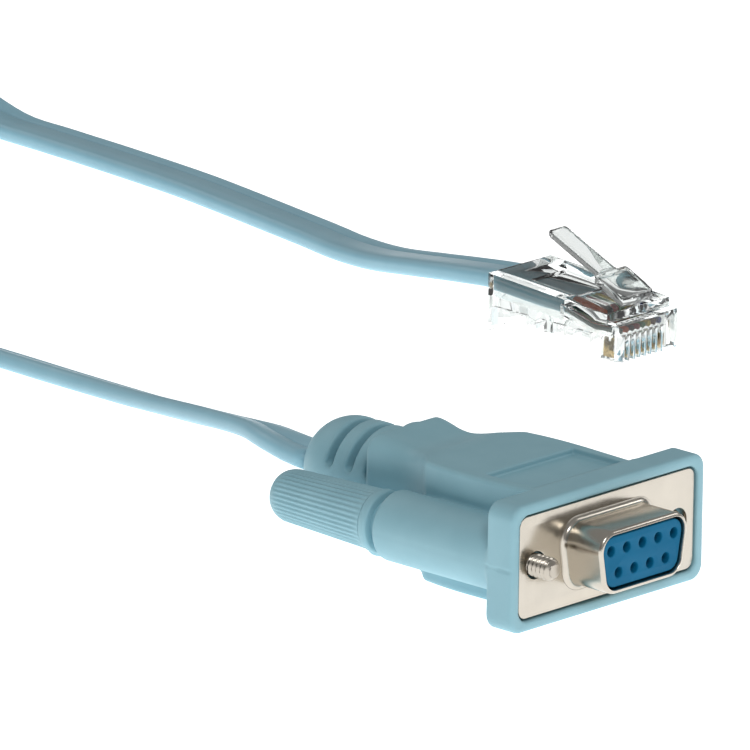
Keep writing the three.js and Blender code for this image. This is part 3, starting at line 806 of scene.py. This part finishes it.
# %% Insulator
SOCKET = SimpleNamespace(pitch=2.77, row_pitch=2.84, mouth=0.66, upper=5, lower=4)
INSULATOR = SimpleNamespace(front=-5.7, rear=3.6, inset=0.8, edge=0.14)


def socket_places():
    rows = ((SOCKET.upper, SOCKET.row_pitch / 2), (SOCKET.lower, -SOCKET.row_pitch / 2))
    return [((i - (count - 1) / 2) * SOCKET.pitch, z) for count, z in rows for i in range(count)]


mouths = [circle(SOCKET.mouth, x, z, 24) for x, z in socket_places()]
insulator = plate("socket_block", [d_outline(INSULATOR.inset), *mouths],
                  INSULATOR.front, INSULATOR.rear, INSULATOR.edge, socket_plastic)
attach(insulator, "root")
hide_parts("insulator")
print("insulator faces", len(insulator.data.polygons))

# %% [markdown]
# The thumbscrews are a plated screw with a moulded knob. A thread is one ridge that climbs as it goes
# round, so the screw's skin is a grid of angle and length whose radius follows the ridge. The knob's
# fine flutes come from the same kind of grid, with waves round it that fade out at both ends. Such
# thumbscrews are captive: they slide a little in their barrels, and the right one is pulled back.

# %% Thumbscrews
SCREW = SimpleNamespace(radius=1.42, tip=-3.0, rear=34.6, pitch=0.635, depth=0.28, threaded=6.0,
                        shank=1.32, steepness=2.4, root=0.1, point_length=0.5, point_depth=0.45)
KNOB = SimpleNamespace(front=24.1, rear=41.4, collar=1.3, collar_radius=3.9, front_radius=3.75,
                       rear_radius=3.2, spigot=2.8, spigot_front=17.1, flutes=36, depth=0.14,
                       end_round=2.4, end_depth=1.8)
# How far from each end of the knob the flutes begin, and over what length they reach full depth
FLUTE = SimpleNamespace(front=0.1, front_fade=0.8, rear=1.1, rear_fade=1.6)
SHARP_IN_TURNING = 50
LEFT_PULLED = 0.0
RIGHT_PULLED = 3.2


def turned(name, rows, count, x, pulled, material):
    """A closed skin of rings about an axis along Y. Each row gives its place and a radius at each angle."""
    angles = np.linspace(0, 2 * math.pi, count, endpoint=False)
    rings = []
    for y, radius in rows:
        r = radius(angles) if callable(radius) else np.full(count, radius)
        place = np.full(count, y + pulled)
        rings.append(to_row(np.stack([x + r * np.cos(angles), place, r * np.sin(angles)], axis=1)))
    obj = skinned(name, rings, material)
    tidy_faces(obj, SHARP_IN_TURNING)
    return obj


def thread_radius(y):
    def radius(angles):
        phase = np.mod(y / SCREW.pitch - angles / (2 * math.pi), 1.0)
        ridge = np.clip(SCREW.steepness * np.abs(phase - 0.5) - SCREW.root, 0, 1)
        tip = np.clip((y - SCREW.tip) / SCREW.point_length, 0, 1)
        return SCREW.radius - SCREW.depth * ridge - SCREW.point_depth * (1 - tip)
    return radius


# %% Screw
def make_screw(name, x, pulled):
    places = np.arange(SCREW.tip, SCREW.tip + SCREW.threaded, SCREW.pitch / 10)
    rows = [(y, thread_radius(y)) for y in places]
    rows += [(places[-1] + 0.3, SCREW.shank), (SCREW.rear, SCREW.shank)]
    return turned(name, rows, 40, x, pulled, screw_metal)


# %% Knob
def knob_radius(y):
    share = (y - KNOB.front - KNOB.collar) / (KNOB.rear - KNOB.front - KNOB.collar)
    base = KNOB.front_radius + (KNOB.rear_radius - KNOB.front_radius) * share
    left = KNOB.rear - y
    if left < KNOB.end_round:
        slide = 1 - left / KNOB.end_round
        base -= KNOB.end_depth * (1 - math.sqrt(max(1 - slide * slide, 0)))
    fade_in = min(max((y - KNOB.front - KNOB.collar - FLUTE.front) / FLUTE.front_fade, 0), 1)
    fade = fade_in * min(max((left - FLUTE.rear) / FLUTE.rear_fade, 0), 1)
    return lambda angles: base - KNOB.depth * fade * (0.5 - 0.5 * np.cos(KNOB.flutes * angles))


def make_knob(name, x, pulled):
    collar_rear = KNOB.front + KNOB.collar
    rows = [(KNOB.spigot_front, KNOB.spigot - 0.3), (KNOB.spigot_front + 0.3, KNOB.spigot),
            (KNOB.front, KNOB.spigot)]
    rows += [(KNOB.front, KNOB.collar_radius - 0.3), (KNOB.front + 0.1, KNOB.collar_radius - 0.1),
             (KNOB.front + 0.3, KNOB.collar_radius), (collar_rear - 0.3, KNOB.collar_radius),
             (collar_rear - 0.1, KNOB.collar_radius - 0.1), (collar_rear, KNOB.collar_radius - 0.25)]
    body = np.concatenate([np.linspace(collar_rear, KNOB.rear - KNOB.end_round, 26),
                           KNOB.rear - KNOB.end_round * np.cos(np.linspace(0.15, math.pi / 2, 12))])
    rows += [(y, knob_radius(y)) for y in body]
    return turned(name, rows, KNOB.flutes * 8, x, pulled, hood_vinyl)


# %% Both thumbscrews
for side, x, pulled in (("left", -SCREW_X, LEFT_PULLED), ("right", SCREW_X, RIGHT_PULLED)):
    screw = make_screw(f"{side}_threaded_screw", x, pulled)
    knob = make_knob(f"{side}_fluted_knob", x, pulled)
    pieces = ((screw, f"{side}_screw", "screw_steel"), (knob, f"{side}_knob", "moulded_blue"))
    for piece, node, slot in pieces:
        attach(piece, f"{side}_thumbscrew")
        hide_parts(node)
    print(side, "knob faces", len(knob.data.polygons))

# %% [markdown]
# What repeats comes from Geometry Nodes: the nine socket contacts stand in two rows and the plug's
# eight blades in one. The node group below lays points along a line, puts a copy of a pattern on each
# and makes the copies real. Its inputs are the counts and the pitches.

# %% Rows of copies
def node_math(tree, operation, first, second):
    node = tree.nodes.new("ShaderNodeMath")
    node.operation = operation
    for socket, value in zip(node.inputs, (first, second)):
        if isinstance(value, (int, float)):
            socket.default_value = value
        else:
            tree.links.new(value, socket)
    return node.outputs[0]


def node_vector(tree, x, z):
    node = tree.nodes.new("ShaderNodeCombineXYZ")
    tree.links.new(x, node.inputs["X"])
    if z is not None:
        tree.links.new(z, node.inputs["Z"])
    return node.outputs[0]


def line_of_points(tree, count, pitch, height):
    span = node_math(tree, "MULTIPLY", node_math(tree, "SUBTRACT", count, 1), pitch)
    line = tree.nodes.new("GeometryNodeMeshLine")
    line.mode = "OFFSET"
    tree.links.new(count, line.inputs["Count"])
    start = node_math(tree, "MULTIPLY", span, -0.5)
    tree.links.new(node_vector(tree, start, height), line.inputs["Start Location"])
    tree.links.new(node_vector(tree, pitch, None), line.inputs["Offset"])
    return line.outputs["Mesh"]


# %% Node group for rows
def rows_tree():
    tree = bpy.data.node_groups.new("rows_of_copies", "GeometryNodeTree")
    kinds = {"Pattern": "Object", "Material": "Material", "Upper Count": "Int", "Lower Count": "Int",
             "Pitch": "Float", "Row Pitch": "Float"}
    for name, kind in kinds.items():
        tree.interface.new_socket(name, in_out="INPUT", socket_type=f"NodeSocket{kind}")
    tree.interface.new_socket("Geometry", in_out="OUTPUT", socket_type="NodeSocketGeometry")
    given = tree.nodes.new("NodeGroupInput").outputs
    both = tree.nodes.new("GeometryNodeJoinGeometry")
    for count, side in (("Upper Count", 0.5), ("Lower Count", -0.5)):
        height = node_math(tree, "MULTIPLY", given["Row Pitch"], side)
        tree.links.new(line_of_points(tree, given[count], given["Pitch"], height), both.inputs["Geometry"])
    pattern = tree.nodes.new("GeometryNodeObjectInfo")
    tree.links.new(given["Pattern"], pattern.inputs["Object"])
    copies = tree.nodes.new("GeometryNodeInstanceOnPoints")
    tree.links.new(both.outputs["Geometry"], copies.inputs["Points"])
    tree.links.new(pattern.outputs["Geometry"], copies.inputs["Instance"])
    real = tree.nodes.new("GeometryNodeRealizeInstances")
    tree.links.new(copies.outputs["Instances"], real.inputs["Geometry"])
    dress = tree.nodes.new("GeometryNodeSetMaterial")
    tree.links.new(real.outputs["Geometry"], dress.inputs["Geometry"])
    tree.links.new(given["Material"], dress.inputs["Material"])
    result = tree.nodes.new("NodeGroupOutput")
    tree.links.new(dress.outputs["Geometry"], result.inputs["Geometry"])
    return tree


ROWS = rows_tree()


# %% Rows as one mesh
def in_rows(name, pattern, material, upper, lower, pitch, row_pitch):
    """Copies of the pattern in one or two rows across X, as one plain mesh."""
    holder = add_object(name, bpy.data.meshes.new(name))
    modifier = holder.modifiers.new("rows", "NODES")
    modifier.node_group = ROWS
    sizes = {"Pattern": pattern, "Material": material, "Upper Count": upper, "Lower Count": lower,
             "Pitch": pitch * MM, "Row Pitch": row_pitch * MM}
    for item in ROWS.interface.items_tree:
        if item.in_out == "INPUT":
            modifier[item.identifier] = sizes[item.name]
    mesh = finished_mesh(holder)
    holder.modifiers.clear()
    holder.data = mesh
    mesh.name = name
    bpy.data.objects.remove(pattern)
    return holder


# %% [markdown]
# Each socket contact is a turned gold tube with a blind bore, which shows as a small ring deep in
# its hole. One is turned as a skin of rings, and the node group above sets out all nine.

# %% Socket contacts
CONTACT = SimpleNamespace(front=-4.5, length=7.2, outside=0.75, bore=0.52, bore_depth=5.5, middle=0.02)


def make_contacts():
    front, rear = CONTACT.front, CONTACT.front + CONTACT.length
    end_of_bore = front + CONTACT.bore_depth
    rows = [(end_of_bore, CONTACT.middle), (end_of_bore, CONTACT.bore), (front + 0.12, CONTACT.bore),
            (front, CONTACT.bore + 0.1), (front, CONTACT.outside - 0.06), (front + 0.06, CONTACT.outside),
            (rear - 0.1, CONTACT.outside), (rear, CONTACT.outside - 0.1), (rear, CONTACT.middle)]
    pattern = turned("contact_pattern", rows, 24, 0, 0, gold_plate)
    return in_rows("socket_contacts", pattern, gold_plate, SOCKET.upper, SOCKET.lower,
                   SOCKET.pitch, SOCKET.row_pitch)


contacts = make_contacts()
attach(contacts, "root")
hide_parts(*[f"socket_contact_{i}" for i in range(1, 10)])
print("contact faces", len(contacts.data.polygons))

# %% [markdown]
# The plug is clear polycarbonate. Light passes through it and bends, so the material is a
# transmissive one with that plastic's index of 1.5, almost no roughness and a slow ripple in the
# surface. Its colour is a light grey, because each wall takes a little light away.

# %% Clear plastic
PLASTIC_INDEX = 1.5
POLISH_NOISE = 700.0
RIPPLE_SCALE = 450.0
RIPPLE_DEPTH = 0.0001


def clear_plastic():
    graph = node_graph("clear_plastic")
    graph.shader.inputs["Base Color"].default_value = (0.64, 0.665, 0.655, 1)
    graph.shader.inputs["Transmission Weight"].default_value = 1.0
    graph.shader.inputs["IOR"].default_value = PLASTIC_INDEX
    varied_roughness(graph, noise(graph, POLISH_NOISE), 0.02, 0.05)
    bump(graph, noise(graph, RIPPLE_SCALE, 2.0), 0.05, RIPPLE_DEPTH)
    return graph.material


clear = clear_plastic()
print("clear plastic:", clear.name)

# %% [markdown]
# The plug's shapes are profiles seen from the side, pulled across its width, so each hollow can be
# drawn the same way as the block. Boolean modifiers take the hollows out, and a narrow bevel then
# softens every edge, because the bright lines of clear plastic are its edges.

# %% Blocks with hollows
SHARP_IN_PLUG = 35


def to_plug(points):
    """From the plug's own corner frame to the frame that the whole lead lies in."""
    return np.asarray(points, float) + (PLUG_X, PLUG_FRONT, 0)


def prism(name, profile, width, x=0.0):
    """A profile of (y, z) points, pulled along X and centred on x in the plug's frame."""
    count = len(profile)
    points = [(x + side * width / 2, y, z) for side in (-1, 1) for y, z in profile]
    faces = [tuple(range(count)), tuple(range(count, 2 * count))]
    faces += [(i, (i + 1) % count, count + (i + 1) % count, count + i) for i in range(count)]
    return mesh_piece(name, to_plug(points), faces, clear)


def box_profile(front, rear, bottom, top):
    return [(front, bottom), (rear, bottom), (rear, top), (front, top)]


# %% Hollows taken out
def hollowed(body, tools, edge):
    """Takes the tools out of the body, softens its edges and removes the tools."""
    for tool in tools:
        cut = body.modifiers.new("hollow", "BOOLEAN")
        cut.operation = "DIFFERENCE"
        cut.solver = "EXACT"
        cut.object = tool
    soften = body.modifiers.new("soft edges", "BEVEL")
    soften.width = edge * MM
    soften.segments = 2
    soften.limit_method = "ANGLE"
    soften.angle_limit = math.radians(30)
    mesh = finished_mesh(body)
    body.modifiers.clear()
    body.data = mesh
    for tool in tools:
        bpy.data.objects.remove(tool)
    smooth_shaded(mesh, SHARP_IN_PLUG)
    return body


# %% [markdown]
# The modular plug is one clear moulding full of hollows: the mouth for the cable, the chamber for the
# eight wires, a slot for each blade, side pockets that keep the wall even, and a shallow recess on
# top. In the pockets stand the wedge and the tab that grip the jacket.

# %% Plug housing
WIRE = SimpleNamespace(count=8, pitch=1.016, diameter=0.68, level=3.75, front=1.7, bend=5.2)
CABLE_END = PLUG.length - CABLE_IN_PLUG
MOUTH = SimpleNamespace(half_height=1.4, width=CABLE_WIDTH + 2 * GAP)
RECESS = SimpleNamespace(front=3.9, rear=16.5, depth=0.45, width=6.6, above=9)
BLADE_SLOT = SimpleNamespace(rear=3.35, width=0.65, outside=-1, into_chamber=0.2)
POCKET_DEPTH = 1.3
WEDGE_POCKET = [(15.0, 0.7), (15.5, 0.7), (17.1, 2.5), (18.7, 0.7), (20.8, 0.7), (20.8, 3.3), (15.0, 3.3)]
TAB_POCKET = [(8.6, 0.7), (13.6, 0.7), (13.6, 2.5), (12.8, 3.3), (12.0, 3.3), (12.0, 1.8),
              (10.8, 1.8), (10.8, 3.3), (8.6, 3.3)]
FRONT_POCKET = box_profile(4.2, 6.8, 0.7, 3.3)


# %% Hollows of the plug
def plug_top(y):
    return PLUG.front_height + (y - PLUG.nose) * PLUG_SLOPE


def plug_hollows():
    reach = WIRE.diameter / 2 + GAP
    bottom, top = WIRE.level - reach, WIRE.level + reach
    end, past = CABLE_END - GAP, PLUG.length + 1
    low, high = cable_level(PLUG_FRONT + CABLE_END), cable_level(PLUG_FRONT + past)
    half = MOUTH.half_height
    mouth = [(end, low - half), (past, high - half), (past, high + half), (end, low + half)]
    chamber = [(WIRE.front - GAP, bottom), (WIRE.bend, bottom), (CABLE_END + 0.1, low - reach),
               (CABLE_END + 0.1, low + reach), (WIRE.bend - 0.4, top), (WIRE.front - GAP, top)]
    recess = [(RECESS.front, plug_top(RECESS.front) - RECESS.depth),
              (RECESS.rear, plug_top(RECESS.rear) - RECESS.depth),
              (RECESS.rear, RECESS.above), (RECESS.front, RECESS.above)]
    tools = [prism("mouth", mouth, MOUTH.width),
             prism("chamber", chamber, (WIRE.count - 1) * WIRE.pitch + 2 * reach),
             prism("recess", recess, RECESS.width)]
    for side in (-1, 1):
        for pocket in (WEDGE_POCKET, TAB_POCKET, FRONT_POCKET):
            tools.append(prism("pocket", pocket, 2 * POCKET_DEPTH, side * PLUG.width / 2))
    outside, inside = BLADE_SLOT.outside, bottom + BLADE_SLOT.into_chamber
    for i in range(WIRE.count):
        x = (i - (WIRE.count - 1) / 2) * WIRE.pitch
        profile = box_profile(outside, BLADE_SLOT.rear, outside, inside)
        tools.append(prism("slot", profile, BLADE_SLOT.width, x))
    return tools


# %% Housing mesh
outline = [(0, 0), (PLUG.length, 0), (PLUG.length, PLUG.rear_height), (PLUG.nose, PLUG.front_height),
           (PLUG.nose, PLUG.nose_height), (0, PLUG.nose_height)]
HOUSING_EDGE = 0.12
housing = hollowed(prism("clear_housing", outline, PLUG.width), plug_hollows(), HOUSING_EDGE)
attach(housing, "root")
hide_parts("plug_housing")
print("housing faces", len(housing.data.polygons))

# %% [markdown]
# The latch is a wide head at the front that narrows to a lever, and it rises towards the rear. Its
# skin is a row of rounded sections, each with its own width, height and thickness.

# %% Latch
LATCH = SimpleNamespace(front=1.7, base=6.622, slope=math.tan(math.radians(24)), corner=0.22)
# Each section is its place behind the plug's front, its half width and its thickness
LATCH_SECTIONS = (
    (1.5, 2.75, 0.9), (1.75, 3.0, 1.2), (3.0, 3.0, 1.35), (5.9, 3.0, 1.35), (6.15, 2.9, 1.3), (6.3, 2.5, 1.2),
    (6.5, 1.75, 1.05), (7.0, 1.62, 1.0), (14.9, 1.62, 0.95), (15.25, 1.5, 0.85), (15.45, 1.2, 0.6))


def make_latch():
    rings = []
    for y, half_width, thick in LATCH_SECTIONS:
        under = LATCH.base + max(y - LATCH.front, 0) * LATCH.slope
        corners = [(-half_width, 0), (half_width, 0), (half_width, thick), (-half_width, thick)]
        ring = rounded_outline(corners, LATCH.corner, 4)
        rings.append(to_plug(np.stack([ring[:, 0], np.full(len(ring), y), ring[:, 1] + under], axis=1)))
    piece = skinned("clear_latch", rings, clear)
    tidy_faces(piece, SHARP_IN_TURNING)
    return piece


latch = make_latch()
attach(latch, "latch")
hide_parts("plug_latch")
print("latch faces", len(latch.data.polygons))

# %% [markdown]
# The eight blades are stamped from gold-plated sheet. Each has a rounded lower corner, where the
# socket's spring touches it, and teeth on top that bite into its wire. One profile pulled to the
# sheet's thickness is the pattern, and the node group sets out the row.

# %% Blades
BLADE_THICK = 0.35
BLADE_PROFILE = [(0.35, 0.75), (0.5, 0.5), (0.8, 0.4), (3.05, 0.4), (3.05, 2.7), (2.75, 2.7),
                 (2.6, 2.2), (2.0, 2.2), (1.85, 2.7), (1.55, 2.7), (1.4, 2.2), (0.35, 2.2)]


def make_blades():
    pattern = prism("blade_pattern", BLADE_PROFILE, BLADE_THICK)
    return in_rows("gold_blades", pattern, gold_plate, WIRE.count, 0, WIRE.pitch, 0)


blades = make_blades()
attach(blades, "root")
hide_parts(*[f"plug_blade_{i}" for i in range(1, 9)])
print("blade faces", len(blades.data.polygons))

# %% [markdown]
# Inside the plug the jacket is stripped, and the eight wires run side by side down to the blades.
# Their colours show through the clear plastic as a row of dots. Each is a round section carried
# along its own smooth line, with the same function as the cable.

# %% Wires
WIRE_COLOURS = {"grey": (0.26, 0.30, 0.28), "orange": (0.62, 0.13, 0.04), "black": (0.02, 0.02, 0.02),
                "red": (0.36, 0.03, 0.03), "green": (0.04, 0.25, 0.07), "yellow": (0.72, 0.52, 0.06),
                "brown": (0.16, 0.07, 0.03), "blue": (0.03, 0.07, 0.28)}


WIRE_END_GAP = 0.35


def make_wire(name, x, material):
    end = CABLE_END - WIRE_END_GAP
    line = [(WIRE.front, WIRE.level), (WIRE.bend - 1.2, WIRE.level), (WIRE.bend, WIRE.level + 0.04),
            (WIRE.bend + 1.2, WIRE.level + 0.33), (end, cable_level(PLUG_FRONT + end))]
    line = np.array([(x, y, z, 0) for y, z in line])
    line[:, :3] = to_plug(line[:, :3])
    return sweep(name, smooth(line, 5), circle(WIRE.diameter / 2, count=16), material)


for i, (colour, value) in enumerate(WIRE_COLOURS.items()):
    x = (i - (WIRE.count - 1) / 2) * WIRE.pitch
    lighter = tuple(min(c * 1.12 + 0.004, 1) for c in value)
    wire = make_wire(f"{colour}_wire", x, soft_plastic(f"{colour}_wire", value, lighter, 0.35, 0.45, 0.1))
    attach(wire, "root")
    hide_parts(f"wire_{i + 1}")

# %% [markdown]
# Two hook-and-loop straps hold the coil. Each is a closed band with rounded corners; its cloth is a
# fine weave of two crossed waves in the bump.

# %% Straps
TIE = SimpleNamespace(width=9.0, thick=0.6, edge=0.1, outer_corner=1.0, inner_corner=0.4)


def woven_cloth():
    graph = node_graph("strap_cloth")
    graph.links.new(mixed(graph, noise(graph, 500.0), (0.010, 0.011, 0.013), (0.028, 0.030, 0.034)),
                    graph.shader.inputs["Base Color"])
    varied_roughness(graph, noise(graph, WEAR_SCALE), 0.8, 0.95)
    place = graph.nodes.new("ShaderNodeTexCoord")
    waves = []
    for direction in ("X", "DIAGONAL"):
        wave = graph.nodes.new("ShaderNodeTexWave")
        wave.bands_direction = direction
        wave.inputs["Scale"].default_value = 420.0
        graph.links.new(place.outputs["Object"], wave.inputs["Vector"])
        waves.append(wave.outputs["Fac"])
    both = graph.nodes.new("ShaderNodeMath")
    both.operation = "MULTIPLY"
    graph.links.new(waves[0], both.inputs[0])
    graph.links.new(waves[1], both.inputs[1])
    bump(graph, both.outputs[0], 0.6, 0.0001)
    return graph.material


# %% Straps round the coil
def make_strap(name, side, material):
    ring_inner = COIL_RADIUS - COIL_PITCH * COIL_TURNS / 2 - CABLE_THICK / 2
    near = math.sqrt(ring_inner ** 2 - (TIE.width / 2) ** 2) - GAP - TIE.thick
    far = COIL_RADIUS + CABLE_THICK / 2 + GAP + TIE.thick
    top = FIRST_LAYER + CABLE_WIDTH / 2 + LAYER_STEP + GAP + TIE.thick
    loops = []
    for inset, corner in ((0, TIE.outer_corner), (TIE.thick, TIE.inner_corner)):
        y, z = (far - near) / 2 - inset, top / 2 - inset
        loops.append(rounded_outline([(-y, -z), (y, -z), (y, z), (-y, z)], corner, 8))
    band_piece = filled(name, loops, TIE.width, TIE.edge, material)
    centre = Vector((COIL_X, COIL_Y + side * (near + far) / 2, top / 2)) * MM
    band_piece.data.transform(Matrix.Translation(centre) @ Matrix.Rotation(math.pi / 2, 4, "Z"))
    return band_piece


cloth = woven_cloth()
for side, where in ((-1, "front"), (1, "rear")):
    strap = make_strap(f"{where}_strap", side, cloth)
    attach(strap, "root")
    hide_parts(f"coil_tie_{where}")

# %% [markdown]
# Such leads are usually 1.83 m long. The photograph doesn't show the length.

# %% [markdown]
# The photograph is lit from all sides on a white sweep, so the object has broad highlights and
# hardly any shadow. A floor that gives light itself, as a light table does, keeps the ground white.
# The world round it is dim, and three soft lights shape the hood. Nickel and clear plastic also need
# something dark to reflect, so two grey cards stand out of the view, seen only by reflections.

# %% Floor and lights
FLOOR_REACH = 6.0
FLOOR_GREY = 0.70
FLOOR_GLOW = 1.05
SKY_GLOW = 0.30
# Each light is its place, what it aims at, its width and height in metres and its power in watts
LIGHTS = {
    "key": ((-0.35, -0.55, 0.75), (0, 0.03, 0), 0.3, 0.3, 2.4),
    "fill": ((0.7, -0.3, 0.45), (0.03, 0.03, 0), 0.3, 0.3, 0.8),
    "rim": ((0.1, 0.9, 0.7), (0.03, 0.05, 0), 0.6, 0.3, 0.8),
}
# Each card is its place, what it faces, its width and its height
CARDS = {
    "left_card": ((-0.55, -0.1, 0.22), (0.03, 0, 0.01), 0.28, 0.3),
    "right_card": ((0.62, -0.42, 0.2), (0.03, 0, 0.01), 0.12, 0.34),
}


def sheet(name, half_width, half_height, material):
    x, y = half_width, half_height
    mesh = bpy.data.meshes.new(name)
    mesh.from_pydata([(-x, -y, 0), (x, -y, 0), (x, y, 0), (-x, y, 0)], [], [(0, 1, 2, 3)])
    mesh.materials.append(material)
    return add_object(name, mesh)


def aimed(obj, place, aim):
    obj.location = place
    obj.rotation_euler = (Vector(aim) - Vector(place)).to_track_quat("-Z", "Y").to_euler()


def make_floor():
    graph = node_graph("floor_white")
    graph.shader.inputs["Base Color"].default_value = (FLOOR_GREY, FLOOR_GREY, FLOOR_GREY, 1)
    graph.shader.inputs["Roughness"].default_value = 0.9
    graph.shader.inputs["Specular IOR Level"].default_value = 0.1
    graph.shader.inputs["Emission Color"].default_value = (1, 1, 1, 1)
    graph.shader.inputs["Emission Strength"].default_value = FLOOR_GLOW
    sheet("floor", FLOOR_REACH, FLOOR_REACH, graph.material)


# %% Lights, world and cards
def area_light(name, place, aim, width, height, power):
    data = bpy.data.lights.new(name, "AREA")
    data.shape = "RECTANGLE"
    data.size = width
    data.size_y = height
    data.energy = power
    aimed(add_object(name, data), place, aim)


def dim_world():
    world = bpy.context.scene.world or bpy.data.worlds.new("world")
    bpy.context.scene.world = world
    world.use_nodes = True
    sky = next(n for n in world.node_tree.nodes if n.type == "BACKGROUND")
    sky.inputs["Color"].default_value = (1, 1, 1, 1)
    sky.inputs["Strength"].default_value = SKY_GLOW


def grey_card(name, place, aim, width, height):
    card = sheet(name, width / 2, height / 2, card_grey)
    aimed(card, place, aim)
    card.visible_camera = False
    card.visible_diffuse = False
    card.visible_shadow = False


# %% Everything lit
card_grey = soft_plastic("card_grey", (0.10, 0.10, 0.10), (0.12, 0.12, 0.12), 0.8, 0.9, 0.0)
make_floor()
dim_world()
for name, setting in LIGHTS.items():
    area_light(name, *setting)
for name, setting in CARDS.items():
    grey_card(name, *setting)
bpy.context.scene.view_settings.view_transform = "Standard"
print("lights", len(LIGHTS), "cards", len(CARDS))
